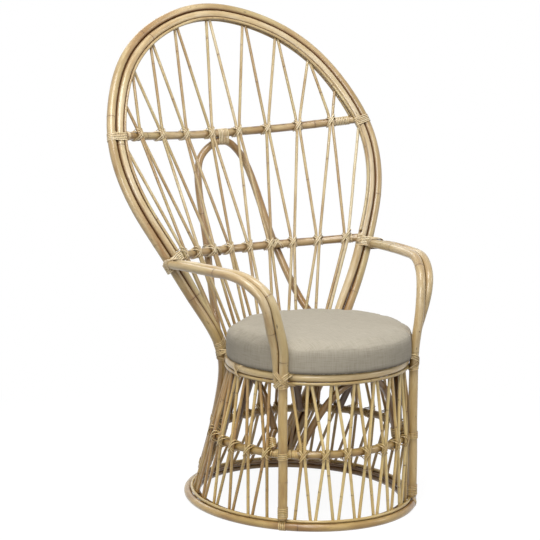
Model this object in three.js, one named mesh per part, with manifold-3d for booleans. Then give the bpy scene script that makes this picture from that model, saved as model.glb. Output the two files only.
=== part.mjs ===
// Peacock chair: a rattan armchair with a tall egg-shaped hoop back, a flaring latticed
// base and a loose round seat cushion. Millimetres, Z up, the sitter faces -Y.
// Poles are bent and lashed; every pole, ring and back spindle is a solid of its own.
import * as THREE from 'three';
import { mergeVertices } from 'three/addons/utils/BufferGeometryUtils.js';
import Module from 'manifold-3d';

const wasm = await Module();
wasm.setup();

// Driving sizes of the whole chair
const overallHeight = 1400;      // floor to the top of the hoop
const hoopWidth = 908;           // over the outer pole at its widest
const hoopLean = 436;            // how far the hoop's top lies behind its crossing of the seat
const seatHeight = 440;          // floor to the top of the seat ring
const seatWidth = 523;           // over the seat ring
const midHeight = 210;           // floor to the centre line of the middle ring
const midWidth = 563;            // over the middle ring
const baseWidth = 642;           // over the outer floor ring, side to side
const baseDepth = 743;           // over the outer floor ring, front to back
const postSpacing = 437;         // between the two front posts
const armHeight = 704;           // floor to the centre line of the arms
const clearance = 0.3;           // left between touching poles

// Pole and cane diameters
const hoopPole = 25;
const postPole = 26;
const armPole = 24;
const railPole = 24;
const loopPole = 22;
const seatPole = 25;
const midPole = 22;
const floorPole = 22;
const floorInnerPole = 14;
const bracePole = 20;
const beamPole = 16;
const slatPole = 14;
const trimCane = 9;
const spindleCane = 9;

// Rear feet, the loop behind the back and the two curved rails
const rearLegFoot = 300;         // between the outer hoop legs at the floor
const rearLegMid = 330;          // between them at the middle ring
const rearLegSeat = 400;         // between them at the seat ring
const rearFootRise = 8;          // lift of a slanting leg's end above the rim it stands on
const loopTailDrop = 24;         // the loop's legs end this far under the seat ring's centre
const loopSetback = 12;          // and stand this much behind the spindles' feet
const loopRailWidth = 236;       // between them at the lower rail
const loopShoulder = 140;        // between them just under the apex
const loopDrift = 14;            // the hand-bent loop lies this far to the sitter's right
const upperRailBow = 110;        // the rails curve back round the sitter
const lowerRailBow = 120;
const upperRailSag = 27;
const lowerRailSag = 18;
const railEndSetback = 17.5;     // from the inner hoop pole's centre line to a rail's end

// Lattice counts and pitches
const upperLashings = 8;
const lowerLashings = 9;
const frontPanels = [2, 3, 2];     // lashed pairs in each panel of the base lattice
const rearPanels = [3, 3, 3, 3, 3, 3, 3];
const bendReach = 30;            // a spindle bends over this length either side of a lashing
const latticeBendReach = 26;
const latticeFootHeight = 6;     // floor to the end of a base spindle
const spindleTailDrop = 24;      // back spindles end this far under the seat ring's centre
const wallSlack = 2;             // the slanting rear canes stand this much further off the rings
const legSlack = 1.4;            // bent legs stand this much further off the lattice
const braceSnug = 0.6;           // braces sit this much closer to the rings, facet to facet
const trimStop = 34;             // the hoop's trims stop this far above a rail

// Seat deck and cushion
const deckSlats = 5;
const slatPitch = 84;
const slatRise = 5;              // slats lie this much above the seat ring's centre line
const beamSpacing = 200;
const cushionWidth = 519;
const cushionThickness = 94;

// Shares, chosen by eye, of the sizes that they follow
const hoopShares = [             // height above the seat ring, half width
  [0.0755, 0.519], [0.155, 0.6285], [0.306, 0.7995], [0.458, 0.957], [0.609, 1],
  [0.744, 0.908], [0.862, 0.7345], [0.9515, 0.445], [1, 0],
];
const leanShares = [0.176, 1.105, -0.281];
const armShares = [              // from post to hoop: across, along, up
  [0, -0.007, 0.08], [0.031, -0.022, 0.284], [0.11, -0.019, 0.468], [0.27, 0.032, 0.79],
  [0.44, 0.125, 0.925], [0.62, 0.26, 0.995], [0.74, 0.4, 1], [0.88, 0.71, 0.996], [1, 1, 0.98],
];
const armTurnShares = [0.23, 0.85]; // of the arm's height: its outer pole turns from behind to outside
const railHeightShares = [0.6432, 0.2943]; // of the way from the seat ring to the hoop's top
const lashingPitchShares = [0.2434, 0.2329]; // of half a rail's length
const fanShares = [-1, -0.775, -0.546, -0.284, 0, 0.284, 0.546, 0.775, 1];
const fanSpread = 76 * Math.PI / 180;
const targetShare = 0.9;         // spindles lean inward by this towards the upper rail
const toeAngles = [-32.2, -21.2, -12.9, -4.3, 4.3, 12.9, 21.2, 32.2].map(THREE.MathUtils.degToRad);
const outerToeAngle = THREE.MathUtils.degToRad(35.2);
const frontMarginShare = 0.775;  // from the last pair to the post, in pitches
const rearMarginShare = 0.98;
const endToeShare = 0.3;         // a single end strand's foot, in pitches from its lashing
const toeTouchShare = 0.38;      // half the distance between two fused canes, in diameters
const toeApartShare = 0.7;       // half the distance where two panels meet
const shortSpindleShare = 0.61;  // where a short spindle starts, up the hoop
const shortSideShare = 1.35;      // a short spindle stands a little off its neighbour
const braceReach = 6.2 * Math.PI / 180;
const braceRearAngle = 128 * Math.PI / 180;
const braceRearInset = 154 * Math.PI / 180;
const archPower = 2.4;
const waistShares = [0.5, 0.48, 0.4]; // of the way from the seat to the lower rail: across, back, up
const leanAtRailShares = [0.5, 0.3]; // how far a spindle leans back per height at each rail
const shoulderDropShare = 1 / 3; // of the loop's shoulder width, under its apex
const driftShares = [0, 1 / 3, 1]; // of the loop's drift: at the apex, shoulder and lower rail

const cushionShares = [          // half section of the cushion: out, up
  [0, 0], [0.45, 0], [0.91, 0], [0.955, 0.03], [0.981, 0.12], [0.995, 0.28], [1, 0.48],
  [0.995, 0.66], [0.979, 0.78], [0.945, 0.86], [0.88, 0.91], [0.7, 0.955], [0.4, 0.989], [0, 1],
];

// Facet counts
const poleSides = 8;
const caneSides = 6;
const latticeSides = 5;
const ringSteps = 48;
const hoopSteps = 240;           // fine stations along the hoop, one section every few
const hoopStride = 5;
const railSteps = 24;
const cushionSteps = 44;

const v = (x, y, z) => new THREE.Vector3(x, y, z);
const mix = THREE.MathUtils.lerp;

// Derived centre lines
const hoopR = hoopPole / 2, postR = postPole / 2, armR = armPole / 2, railR = railPole / 2;
const loopR = loopPole / 2, seatR = seatPole / 2, midR = midPole / 2, floorR = floorPole / 2;
const innerR = floorInnerPole / 2, braceR = bracePole / 2, trimR = trimCane / 2;
const caneR = spindleCane / 2;
const floorA = baseWidth / 2 - floorR;
const floorB = baseDepth / 2 - floorR;
const seatRadius = seatWidth / 2 - seatR;
const seatZ = seatHeight - seatR;
const flatShare = Math.cos(Math.PI / poleSides); // a facet lies this share of the radius out
const midRadius = midWidth / 2 - midR;
const postX = postSpacing / 2;
const postY = -floorB * Math.sqrt(1 - (postX / floorA) ** 2);
const touchingCentre = (radius) => postY + Math.sqrt(radius ** 2 - postX ** 2);
const seatY = touchingCentre(seatRadius + (seatR + postR) * flatShare + 3 * clearance);
const midY = touchingCentre(midRadius + (midR + postR) * flatShare + 2 * clearance);
const trimRadius = seatRadius + seatR - clearance - trimR;
const trimZ = seatZ - Math.sqrt((seatR + trimR + clearance) ** 2 - (trimRadius - seatRadius) ** 2);
const hoopHalf = hoopWidth / 2 - hoopR;
const hoopTopZ = overallHeight - hoopR;
const [upperRailHeight, lowerRailHeight] = railHeightShares
  .map((share) => mix(seatZ, hoopTopZ, share));

// The base wall: one level curve each at the seat, the middle ring and the floor
const facetDip = (radius) => radius * (1 - Math.cos(Math.PI / ringSteps));
const wall = {
  top: { a: trimRadius - trimR - caneR - clearance - facetDip(seatRadius), y: seatY,
    z: seatZ - seatR - 2 * clearance },
  mid: { a: midRadius + midR + caneR + clearance,
    b: midRadius + midR + caneR + clearance + wallSlack / 2, y: midY + wallSlack / 2, z: midHeight },
  foot: { a: floorA - floorR - caneR - clearance - facetDip(floorA),
    b: floorB - floorR - caneR - clearance - facetDip(floorB), y: 0, z: latticeFootHeight },
};
const onLevel = (level, angle, out = 0) => v((level.a + out) * Math.sin(angle),
  level.y - ((level.b ?? level.a) + out) * Math.cos(angle), level.z);
const postAngle = (level) => Math.asin(postX / (level.a + postR));

// A point of the wall at any height, set out from the canes' centre lines by a distance
function wallPoint(angle, z, out) {
  const [under, over] = z > wall.mid.z ? [wall.mid, wall.top] : [wall.foot, wall.mid];
  const low = onLevel(under, angle), high = onLevel(over, angle);
  const point = low.clone().lerp(high, (z - under.z) / (over.z - under.z));
  const flat = v(Math.sin(angle), -Math.cos(angle), 0);
  const flare = low.clone().sub(high).dot(flat) / (over.z - under.z);
  return point.addScaledVector(flat, out * Math.hypot(1, flare));
}

// A route through listed points, with one pole section at each point
class Route extends THREE.Curve {
  constructor(points, closed = false) {
    super();
    this.points = points;
    this.closed = closed;
    this.last = closed ? points.length : points.length - 1;
  }

  at(index) {
    const count = this.points.length;
    return this.closed ? this.points[((index % count) + count) % count]
      : this.points[Math.min(Math.max(index, 0), count - 1)];
  }

  getPoint(t, target = new THREE.Vector3()) {
    const place = t * this.last;
    const index = Math.min(Math.floor(place + Number.EPSILON), this.last - 1);
    return target.lerpVectors(this.at(index), this.at(index + 1), place - index);
  }

  getPointAt(u, target) { return this.getPoint(u, target); }

  getTangentAt(u, target = new THREE.Vector3()) {
    const index = Math.round(u * this.last);
    const back = this.at(index).clone().sub(this.at(index - 1)).normalize();
    const ahead = this.at(index + 1).clone().sub(this.at(index)).normalize();
    return target.addVectors(back, ahead).normalize();
  }
}

const bend = (points, count) => new THREE.CatmullRomCurve3(points, false, 'centripetal')
  .getSpacedPoints(count);
const mirrored = (points) => points.map((p) => v(-p.x, p.y, p.z));

// A bent pole with flat sawn ends
function pole(points, radius, sides = poleSides) {
  const section = new THREE.Shape();
  for (let i = 0; i < sides; i += 1) {
    const a = 2 * Math.PI * (i + 0.5) / sides;
    section[i ? 'lineTo' : 'moveTo'](radius * Math.cos(a), radius * Math.sin(a));
  }
  section.closePath();
  return new THREE.ExtrudeGeometry(section, { steps: points.length - 1, bevelEnabled: false,
    extrudePath: new Route(points) });
}

// A closed hoop of pole on any level curve
const closedPole = (points, radius, sides) => new THREE.TubeGeometry(
  new Route(points, true), points.length, radius, sides, true);

// A true round ring, revolved
function ring(radius, y, z, tube, sides = poleSides) {
  const section = [];
  for (let i = 0; i <= sides; i += 1) {
    const a = 2 * Math.PI * (i % sides + 0.5) / sides;
    section.push(new THREE.Vector2(radius + tube * Math.cos(a), tube * Math.sin(a)));
  }
  return new THREE.LatheGeometry(section, ringSteps).rotateX(Math.PI / 2).translate(0, y, z);
}

// Boolean help for panels whose canes are lashed into one lattice
function toSolid(geometry) {
  const bare = geometry.clone();
  bare.deleteAttribute('normal');
  bare.deleteAttribute('uv');
  const merged = mergeVertices(bare);
  return new wasm.Manifold(new wasm.Mesh({ numProp: 3,
    vertProperties: new Float32Array(merged.attributes.position.array),
    triVerts: new Uint32Array(merged.index.array) }));
}

function joined(geometries) {
  const whole = geometries.map(toSolid).reduce((sum, next) => sum.add(next));
  const mesh = whole.getMesh();
  const geometry = new THREE.BufferGeometry();
  geometry.setAttribute('position', new THREE.BufferAttribute(mesh.vertProperties, 3));
  geometry.setIndex(new THREE.BufferAttribute(mesh.triVerts, 1));
  geometry.computeVertexNormals();
  return geometry;
}

const rattan = { color: 0xc8a877, roughness: 0.5, metalness: 0 };
const cane = { color: 0xd2b183, roughness: 0.5, metalness: 0 };
const linen = { color: 0xa59f91, roughness: 0.95, metalness: 0 };

const chair = new THREE.Group();
function add(name, geometry, finish) {
  const mesh = new THREE.Mesh(geometry, new THREE.MeshStandardMaterial(finish));
  mesh.name = name;
  chair.add(mesh);
}

// Hoop: the outer pole is one bent length from floor to floor
const leanY = (share) => leanShares.reduce((sum, c, i) => sum + c * share ** (i + 1), 0);
const seatLegY = seatY + Math.sqrt(
  (seatRadius + seatR + hoopR + clearance) ** 2 - (rearLegSeat / 2) ** 2);
const floorSides = 9;            // odd, so that a ring's underside is a flat facet
const innerSides = 7;
const floorZ = floorR * Math.cos(Math.PI / floorSides);
const innerZ = innerR * Math.cos(Math.PI / innerSides);
const rimZ = floorZ + Math.sqrt((floorR + trimR + clearance) ** 2 - (floorR - trimR) ** 2);
const innerRimZ = innerZ + innerR + trimR + clearance;
const rimTop = rimZ + trimR;
const rearWall = (x, z, radius) => {
  const out = caneR + radius + clearance + legSlack;
  const [under, over] = z > wall.mid.z ? [wall.mid, wall.top] : [wall.foot, wall.mid];
  const level = mix(under.a, over.a, (z - under.z) / (over.z - under.z));
  return wallPoint(Math.PI - Math.asin(x / (level + out)), z, out);
};

function hoopSide() {
  const foot = rearWall(rearLegFoot / 2, rimTop + rearFootRise, hoopR);
  const middle = rearWall(rearLegMid / 2, midHeight, hoopR);
  const seat = v(rearLegSeat / 2, seatLegY, seatZ);
  const upper = hoopShares.map(([up, across]) => v(hoopHalf * across,
    seatLegY + hoopLean * leanY(up), mix(seatZ, hoopTopZ, up)));
  return [foot, middle, seat, ...upper];
}

const hoopRight = hoopSide();
const hoopKnots = [...mirrored(hoopRight.slice(0, -1)), ...hoopRight.slice().reverse()];
const hoopFine = bend(hoopKnots, hoopSteps);

// Direction from the outer pole towards the pole inside it, square to the pole
function inward(point, tangent) {
  const side = Math.sign(point.x) || 1;
  const share = THREE.MathUtils.clamp((point.z - seatZ) / (hoopTopZ - seatZ), 0, 1);
  const slope = hoopLean / (hoopTopZ - seatZ)
    * leanShares.reduce((sum, c, i) => sum + c * (i + 1) * share ** i, 0);
  const flat = v(0, 1, -slope).normalize().cross(tangent);
  if (flat.dot(v(-point.x, 0, lowerRailHeight + seatHeight / 2 - point.z)) < 0) flat.negate();
  const centreY = point.z > midHeight ? mix(midY, seatY, (point.z - midHeight) / (seatZ - midHeight))
    : mix(0, midY, point.z / midHeight);
  const turn = Math.atan2(Math.abs(point.x), point.y - centreY);
  const round = v(-side * Math.cos(turn), Math.sin(turn), 0);
  const blend = THREE.MathUtils.smoothstep(point.z, seatZ, lowerRailHeight);
  const reach = round.lerp(flat, blend);
  return reach.addScaledVector(tangent, -reach.dot(tangent)).normalize();
}

const tangentAt = (points, i) => points[Math.min(i + 1, points.length - 1)].clone()
  .sub(points[Math.max(i - 1, 0)]).normalize();
const innerFine = hoopFine.map((p, i) => p.clone().addScaledVector(
  inward(p, tangentAt(hoopFine, i)), 2 * hoopR + clearance));

const upperEnd = railEnd(upperRailHeight);
const lowerEnd = railEnd(lowerRailHeight);
const upperRail = { ...upperEnd, bow: upperRailBow, sag: upperRailSag,
  pitch: upperEnd.half * lashingPitchShares[0], count: upperLashings };
const lowerRail = { ...lowerEnd, bow: lowerRailBow, sag: lowerRailSag,
  pitch: lowerEnd.half * lashingPitchShares[1], count: lowerLashings };

function railEnd(height) {
  const near = innerFine.filter((p) => p.x > 0)
    .reduce((best, p) => (Math.abs(p.z - height) < Math.abs(best.z - height) ? p : best));
  return { half: near.x - railEndSetback, y: near.y + railR, z: height };
}

const railPoint = (rail, x) => {
  const depth = 1 - (x / rail.half) ** 2;
  return v(x, rail.y + rail.bow * depth, rail.z - rail.sag * depth);
};
const railTangent = (rail, x) => v(1, -2 * rail.bow * x / rail.half ** 2,
  2 * rail.sag * x / rail.half ** 2).normalize();

// Where a spindle crosses a rail, in front of it, side +1 or -1 of the lashing
function lashing(rail, index, side, lean) {
  const x = (index - (rail.count - 1) / 2) * rail.pitch;
  const along = railTangent(rail, x);
  const front = along.clone().cross(lean).normalize();
  if (front.y > 0) front.negate();
  return railPoint(rail, x).addScaledVector(front, railR + caneR + 1.5 * clearance)
    .addScaledVector(along, side * (caneR + clearance / 2));
}
const upperLean = v(0, leanAtRailShares[0], 1).normalize();
const lowerLean = v(0, leanAtRailShares[1], 1).normalize();

// The direction in which spindles leave the inner hoop pole
function leave(point, tangent) {
  const x = point.x * targetShare;
  const target = point.z > upperRailHeight
    ? railPoint(upperRail, x).add(v(0, -railR - caneR, 0)) : point.clone().sub(v(point.x, 0, 0));
  const reach = target.sub(point);
  return reach.addScaledVector(tangent, -reach.dot(tangent)).normalize();
}

function fanPoint(share, side, next) {
  const angle = share * fanSpread;
  const ray = v(Math.sin(angle), 0, Math.cos(angle));
  let best = 0;
  innerFine.forEach((p, i) => {
    if (p.z < upperRailHeight) return;
    const miss = (q) => Math.abs(Math.atan2(q.x, q.z - upperRailHeight) - Math.atan2(ray.x, ray.z));
    if (innerFine[best].z < upperRailHeight || miss(p) < miss(innerFine[best])) best = i;
  });
  return spindleTop(best, side, next);
}

// The sawn top of a spindle, clear of the pole however steeply the spindle leaves it
function spindleTop(index, side, next) {
  const tangent = tangentAt(innerFine, index);
  const along = tangent.clone().multiplyScalar(Math.sign(tangent.x) || 1);
  const reach = leave(innerFine[index], tangent);
  const start = innerFine[index].clone().addScaledVector(along, side * (caneR + 2 * clearance));
  const slant = next.clone().sub(start).normalize().dot(reach);
  return start.addScaledVector(reach,
    hoopR + 3.5 * clearance + caneR * Math.sqrt(Math.max(0, 1 - slant ** 2)));
}

const toe = (angle, side) => {
  const radius = seatRadius + seatR + caneR + clearance + legSlack;
  const turn = angle + side * (caneR + clearance / 2) / radius;
  return v(radius * Math.sin(turn), seatY + radius * Math.cos(turn), seatZ - spindleTailDrop);
};

// A cane that runs straight between lashings and bends at each
function lashed(keys, reach) {
  const points = [keys[0]];
  for (let i = 1; i < keys.length - 1; i += 1) {
    const before = keys[i].clone().sub(keys[i - 1]).normalize();
    const after = keys[i + 1].clone().sub(keys[i]).normalize();
    const middle = before.clone().add(after).normalize();
    points.push(keys[i].clone().addScaledVector(middle.clone().add(before).normalize(), -reach),
      keys[i], keys[i].clone().addScaledVector(middle.add(after).normalize(), reach));
  }
  return [...points, keys[keys.length - 1]];
}

function addBackSpindles() {
  for (let i = 0; i < upperLashings; i += 1) {
    const left = [lashing(upperRail, i, -1, upperLean), lashing(lowerRail, i, 1, lowerLean),
      toe(toeAngles[i], -1)];
    const right = [lashing(upperRail, i, 1, upperLean), lashing(lowerRail, i + 1, -1, lowerLean),
      toe(toeAngles[i], 1)];
    left.unshift(fanPoint(fanShares[i], 1, left[0]));
    right.unshift(fanPoint(fanShares[i + 1], -1, right[0]));
    add(`spindle_a_${i + 1}`, pole(lashed(left, bendReach), caneR, caneSides), cane);
    add(`spindle_b_${i + 1}`, pole(lashed(right, bendReach), caneR, caneSides), cane);
  }
  const startZ = mix(seatZ, hoopTopZ, shortSpindleShare);
  const index = innerFine.reduce((best, p, i) => (p.x > 0
    && Math.abs(p.z - startZ) < Math.abs(innerFine[best].z - startZ) ? i : best),
  Math.floor(innerFine.length * 3 / 4));
  const short = [lashing(lowerRail, lowerLashings - 1, shortSideShare, lowerLean),
    toe(outerToeAngle, 0)];
  short.unshift(spindleTop(index, 0, short[0]));
  add('spindle_short_right', pole(lashed(short, bendReach), caneR, caneSides), cane);
  add('spindle_short_left', pole(mirrored(lashed(short, bendReach)), caneR, caneSides), cane);
}

// Trims: a cane in front and one behind, pinching the spindle ends to the inner pole
function trimPath(side, stopZ) {
  const out = caneR + trimR + 3 * clearance;
  const down = Math.sqrt((hoopR + trimR + 4 * clearance) ** 2 - out ** 2);
  const points = innerFine.map((p, i) => {
    const tangent = tangentAt(innerFine, i);
    const reach = leave(p, tangent);
    const across = reach.clone().cross(tangent).normalize();
    if (across.y > 0) across.negate();
    return p.clone().addScaledVector(reach, down).addScaledVector(across, side * out);
  }).filter((p) => p.z > stopZ);
  return points.filter((p, i) => i % hoopStride === 0);
}

function addHoop() {
  const everyStride = (points) => points.filter((p, i) => i % hoopStride === 0);
  add('hoop_outer', pole(everyStride(hoopFine), hoopR), rattan);
  add('hoop_inner', pole(everyStride(innerFine), hoopR), rattan);
  add('hoop_trim_front', pole(trimPath(1, lowerRailHeight + trimStop), trimR, latticeSides), cane);
  add('hoop_trim_rear', pole(trimPath(-1, upperRailHeight + trimStop), trimR, latticeSides), cane);
}

function addRails() {
  const route = (rail) => Array.from({ length: railSteps + 1 }, (unused, i) => railPoint(rail,
    mix(-rail.half, rail.half, i / railSteps)));
  add('rail_upper', pole(route(upperRail), railR), rattan);
  add('rail_lower', pole(route(lowerRail), railR), rattan);
}

// A point for the loop's leg: behind the spindles' feet and against the inner hoop pole
function besideLeg(z) {
  const leg = innerFine.filter((p) => p.x > 0)
    .reduce((best, p) => (Math.abs(p.z - z) < Math.abs(best.z - z) ? p : best));
  const legOut = Math.hypot(leg.x, leg.y - seatY);
  const out = legOut + loopR - hoopR + 2 * caneR + loopSetback;
  const reach = hoopR + loopR + 4 * clearance;
  const turn = Math.atan2(leg.x, leg.y - seatY)
    - Math.acos((legOut ** 2 + out ** 2 - reach ** 2) / (2 * legOut * out));
  return v(out * Math.sin(turn), seatY + out * Math.cos(turn), z);
}

// Loop: a hairpin pole tied under the upper rail, behind the lower one and beside the hoop's feet
function addLoop() {
  const apex = railPoint(upperRail, -loopDrift * driftShares[0]);
  apex.z -= railR + loopR + clearance;
  const shoulderZ = apex.z - loopShoulder * shoulderDropShare;
  const side = (sign) => {
    const seat = besideLeg(seatZ);
    const tail = besideLeg(seatZ - loopTailDrop);
    const xRail = sign * loopRailWidth / 2 - loopDrift * driftShares[2];
    const rail = railPoint(lowerRail, xRail);
    rail.y += (railR + loopR + clearance + 1.5 * legSlack) * Math.hypot(1,
      2 * lowerRail.bow * xRail / lowerRail.half ** 2);
    const waist = v(mix(seat.x, Math.abs(rail.x), waistShares[0]), mix(seat.y, rail.y, waistShares[1]),
      mix(seatZ, rail.z, waistShares[2]));
    const legs = [tail, seat, waist].map((p) => v(sign * p.x, p.y, p.z));
    const shoulder = v(sign * loopShoulder / 2 - loopDrift * driftShares[1], apex.y + clearance,
      shoulderZ);
    return [...legs, rail, shoulder];
  };
  const knots = [...side(-1), apex, ...side(1).reverse()];
  add('back_loop', pole(bend(knots, 48), loopR), rattan);
}

// Arms: the inner pole is also the front post, the outer pole doubles it above the seat
function addArms() {
  const armRear = innerFine.filter((p) => p.x > 0)
    .reduce((best, p) => (Math.abs(p.z - armHeight) < Math.abs(best.z - armHeight) ? p : best));
  const rearX = armRear.x + hoopR + postR / 2;
  const rearY = armRear.y - hoopR - postR / 2;
  const upper = armShares.map(([across, along, up]) => v(mix(postX, rearX, across),
    mix(postY, rearY, along), mix(seatZ, armHeight, up)));
  const fine = bend([v(postX, postY, seatZ - seatPole), ...upper], 60);
  const coarse = bend(fine.filter((p, i) => i % 3 === 0), 20);
  const alongRing = Math.atan2(postX, seatY - postY);
  const [turnFrom, turnTo] = armTurnShares.map((share) => mix(seatZ, armHeight, share));
  const outer = fine.map((p, i) => {
    const tangent = tangentAt(fine, i);
    const turn = alongRing * (1 - THREE.MathUtils.smoothstep(p.z, turnFrom, turnTo));
    const out = v(Math.cos(turn), Math.sin(turn), 0);
    out.addScaledVector(tangent, -out.dot(tangent)).normalize();
    return p.clone().addScaledVector(out, postR + armR + 2 * clearance);
  });
  const inner = [v(postX, postY, rimTop + clearance), v(postX, postY, midHeight), ...coarse];
  const doubled = bend(outer.filter((p, i) => i % 3 === 0), 18);
  for (const [name, side] of [['right', (p) => p], ['left', mirrored]]) {
    add(`arm_post_${name}`, pole(side(inner), postR), rattan);
    add(`arm_outer_${name}`, pole(side(doubled), armR), rattan);
  }
}

function addRings() {
  const angles = Array.from({ length: ringSteps }, (unused, i) => 2 * Math.PI * i / ringSteps);
  add('base_ring_outer', closedPole(angles.map((a) => v(floorA * Math.sin(a),
    -floorB * Math.cos(a), floorZ)), floorR, floorSides), rattan);
  add('base_rim_outer', closedPole(angles.map((a) => wallPoint(a, rimZ,
    caneR + trimR + 1.5 * clearance)), trimR, latticeSides), cane);
  add('base_ring_inner', closedPole(angles.map((a) => wallPoint(a, innerZ,
    -(caneR + innerR + clearance))), innerR, innerSides), rattan);
  add('base_rim_inner', closedPole(angles.map((a) => wallPoint(a, innerRimZ,
    -(caneR + trimR + clearance))), trimR, latticeSides), cane);
  add('mid_ring', ring(midRadius, midY, midHeight, midR), rattan);
  add('seat_ring', ring(seatRadius, seatY, seatZ, seatR), rattan);
  add('seat_trim', closedPole(angles.map((a) => wallPoint(a, trimZ,
    caneR + trimR + clearance + facetDip(seatRadius))), trimR, latticeSides), cane);
}

// Base lattice: canes meet at the rings' toes and are lashed in pairs at the middle ring
function bay(panels, margin, centre, halfTurn) {
  const pairs = panels.reduce((sum, count) => sum + count);
  const seams = panels.reduce((ends, count) => [...ends, ends[ends.length - 1] + count], [0]);
  const reach = (pairs - 1) / 2 + margin;
  const turn = (level, place) => centre + place / reach * halfTurn(level);
  return Array.from({ length: pairs }, (unused, i) => {
    const place = i - (pairs - 1) / 2;
    return [-1, 1].map((side) => {
      const end = (side < 0 && i === 0) || (side > 0 && i === pairs - 1);
      const edge = seams.includes(side < 0 ? i : i + 1);
      const foot = place + side * (end ? endToeShare : 0.5);
      const shift = (end ? 0 : side) * spindleCane * (edge ? toeApartShare : toeTouchShare);
      const at = (level) => onLevel(level, turn(level, foot) - shift / level.a);
      const knot = onLevel(wall.mid, turn(wall.mid, place)
        + side * spindleCane * toeTouchShare / wall.mid.a);
      return pole(lashed([at(wall.top), knot, at(wall.foot)], latticeBendReach), caneR, latticeSides);
    });
  });
}

function addLattice() {
  const bays = [
    ['front', frontPanels, bay(frontPanels, frontMarginShare, 0, (level) => postAngle(level))],
    ['rear', rearPanels, bay(rearPanels, rearMarginShare, Math.PI,
      (level) => Math.PI - postAngle(level))],
  ];
  for (const [name, panels, pairs] of bays) {
    panels.forEach((count, i) => add(`lattice_${name}_${i + 1}`,
      joined(pairs.splice(0, count).flat()), cane));
  }
}

// Braces: four arches that spring from the middle ring and carry the seat ring
function addBraces() {
  const inTop = wall.top.a - caneR - clearance - braceR + braceSnug;
  const topZ = seatZ - Math.sqrt((seatR + braceR + clearance - braceSnug) ** 2
    - (seatRadius - inTop) ** 2);
  const inMid = midRadius - midR - clearance - braceR + braceSnug;
  const arch = (from, to, steps = 14) => Array.from({ length: steps + 1 }, (unused, i) => {
    const place = i / steps;
    const up = 1 - Math.abs(2 * place - 1) ** archPower;
    const radius = mix(inMid, inTop, up);
    const angle = mix(from, to, place);
    return v(radius * Math.sin(angle), mix(midY, seatY, up) - radius * Math.cos(angle),
      mix(midHeight, topZ, up));
  });
  const post = postAngle(wall.mid);
  const right = arch(post + braceReach, braceRearAngle);
  add('brace_front', pole(arch(-post + braceReach, post - braceReach), braceR), rattan);
  add('brace_right', pole(right, braceR), rattan);
  add('brace_left', pole(mirrored(right), braceR), rattan);
  add('brace_rear', pole(arch(braceRearInset, 2 * Math.PI - braceRearInset, 10), braceR), rattan);
}

// Seat deck: slats laid on two beams inside the seat ring
function addDeck() {
  const slatZ = seatZ + slatRise;
  const beamZ = slatZ - (slatPole + beamPole) / 2 * flatShare - clearance;
  const inside = (seatRadius - seatR * flatShare) * Math.cos(Math.PI / ringSteps) - clearance;
  for (let i = 0; i < deckSlats; i += 1) {
    const x = (i - (deckSlats - 1) / 2) * slatPitch;
    const half = Math.sqrt(inside ** 2 - (Math.abs(x) + slatPole / 2) ** 2);
    add(`deck_slat_${i + 1}`, pole([v(x, seatY - half, slatZ), v(x, seatY + half, slatZ)],
      slatPole / 2, poleSides), rattan);
  }
  const across = Math.sqrt(inside ** 2 - (beamSpacing / 2 + beamPole / 2) ** 2);
  for (const [name, side] of [['front', -1], ['rear', 1]]) {
    const y = seatY + side * beamSpacing / 2;
    add(`deck_beam_${name}`, pole([v(-across, y, beamZ), v(across, y, beamZ)],
      beamPole / 2, poleSides), rattan);
  }
}

// Cushion: a round pad with a crown and sides drawn in at both seams
function addCushion() {
  const knots = cushionShares.map(([out, up]) => v(out * cushionWidth / 2, up * cushionThickness, 0));
  const section = new THREE.CatmullRomCurve3(knots, false, 'centripetal')
    .getPoints(2 * (knots.length - 1)).map((p) => new THREE.Vector2(p.x, Math.max(p.y, 0)));
  add('cushion', new THREE.LatheGeometry(section, cushionSteps).rotateX(Math.PI / 2)
    .translate(0, seatY, seatZ + seatR * flatShare + clearance), linen);
}

addRings();
addArms();
addHoop();
addRails();
addLoop();
addBraces();
addBackSpindles();
addLattice();
addDeck();
addCushion();

// The origin is the middle of the footprint of the whole chair, on the floor
const bounds = new THREE.Box3().setFromObject(chair, true);
chair.position.set(0, -(bounds.min.y + bounds.max.y) / 2, 0);

export default chair;
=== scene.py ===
"""Looks of a peacock chair in natural rattan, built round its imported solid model.

Everything is in metres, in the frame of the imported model: +Z up, the sitter faces -Y.
Each pole, ring and spindle is carried along the centre line of its solid, each crossing
gets its peel binding, and the cushion is a soft form that is blown up by simulation.
"""

import logging
import math
import zlib
from dataclasses import dataclass, field, replace
from enum import Enum
from typing import ClassVar

import bpy
import numpy as np
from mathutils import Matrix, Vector


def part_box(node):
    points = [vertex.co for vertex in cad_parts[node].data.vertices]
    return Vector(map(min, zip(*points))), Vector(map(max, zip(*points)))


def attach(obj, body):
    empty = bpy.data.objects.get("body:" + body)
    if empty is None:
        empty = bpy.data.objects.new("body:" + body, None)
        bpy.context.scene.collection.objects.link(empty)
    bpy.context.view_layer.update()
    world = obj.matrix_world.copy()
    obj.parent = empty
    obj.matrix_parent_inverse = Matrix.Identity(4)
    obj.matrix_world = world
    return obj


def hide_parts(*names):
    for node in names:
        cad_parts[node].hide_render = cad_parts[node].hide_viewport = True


Mesh, Socket, Tree = bpy.types.Mesh, bpy.types.NodeSocket, bpy.types.NodeTree

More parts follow.
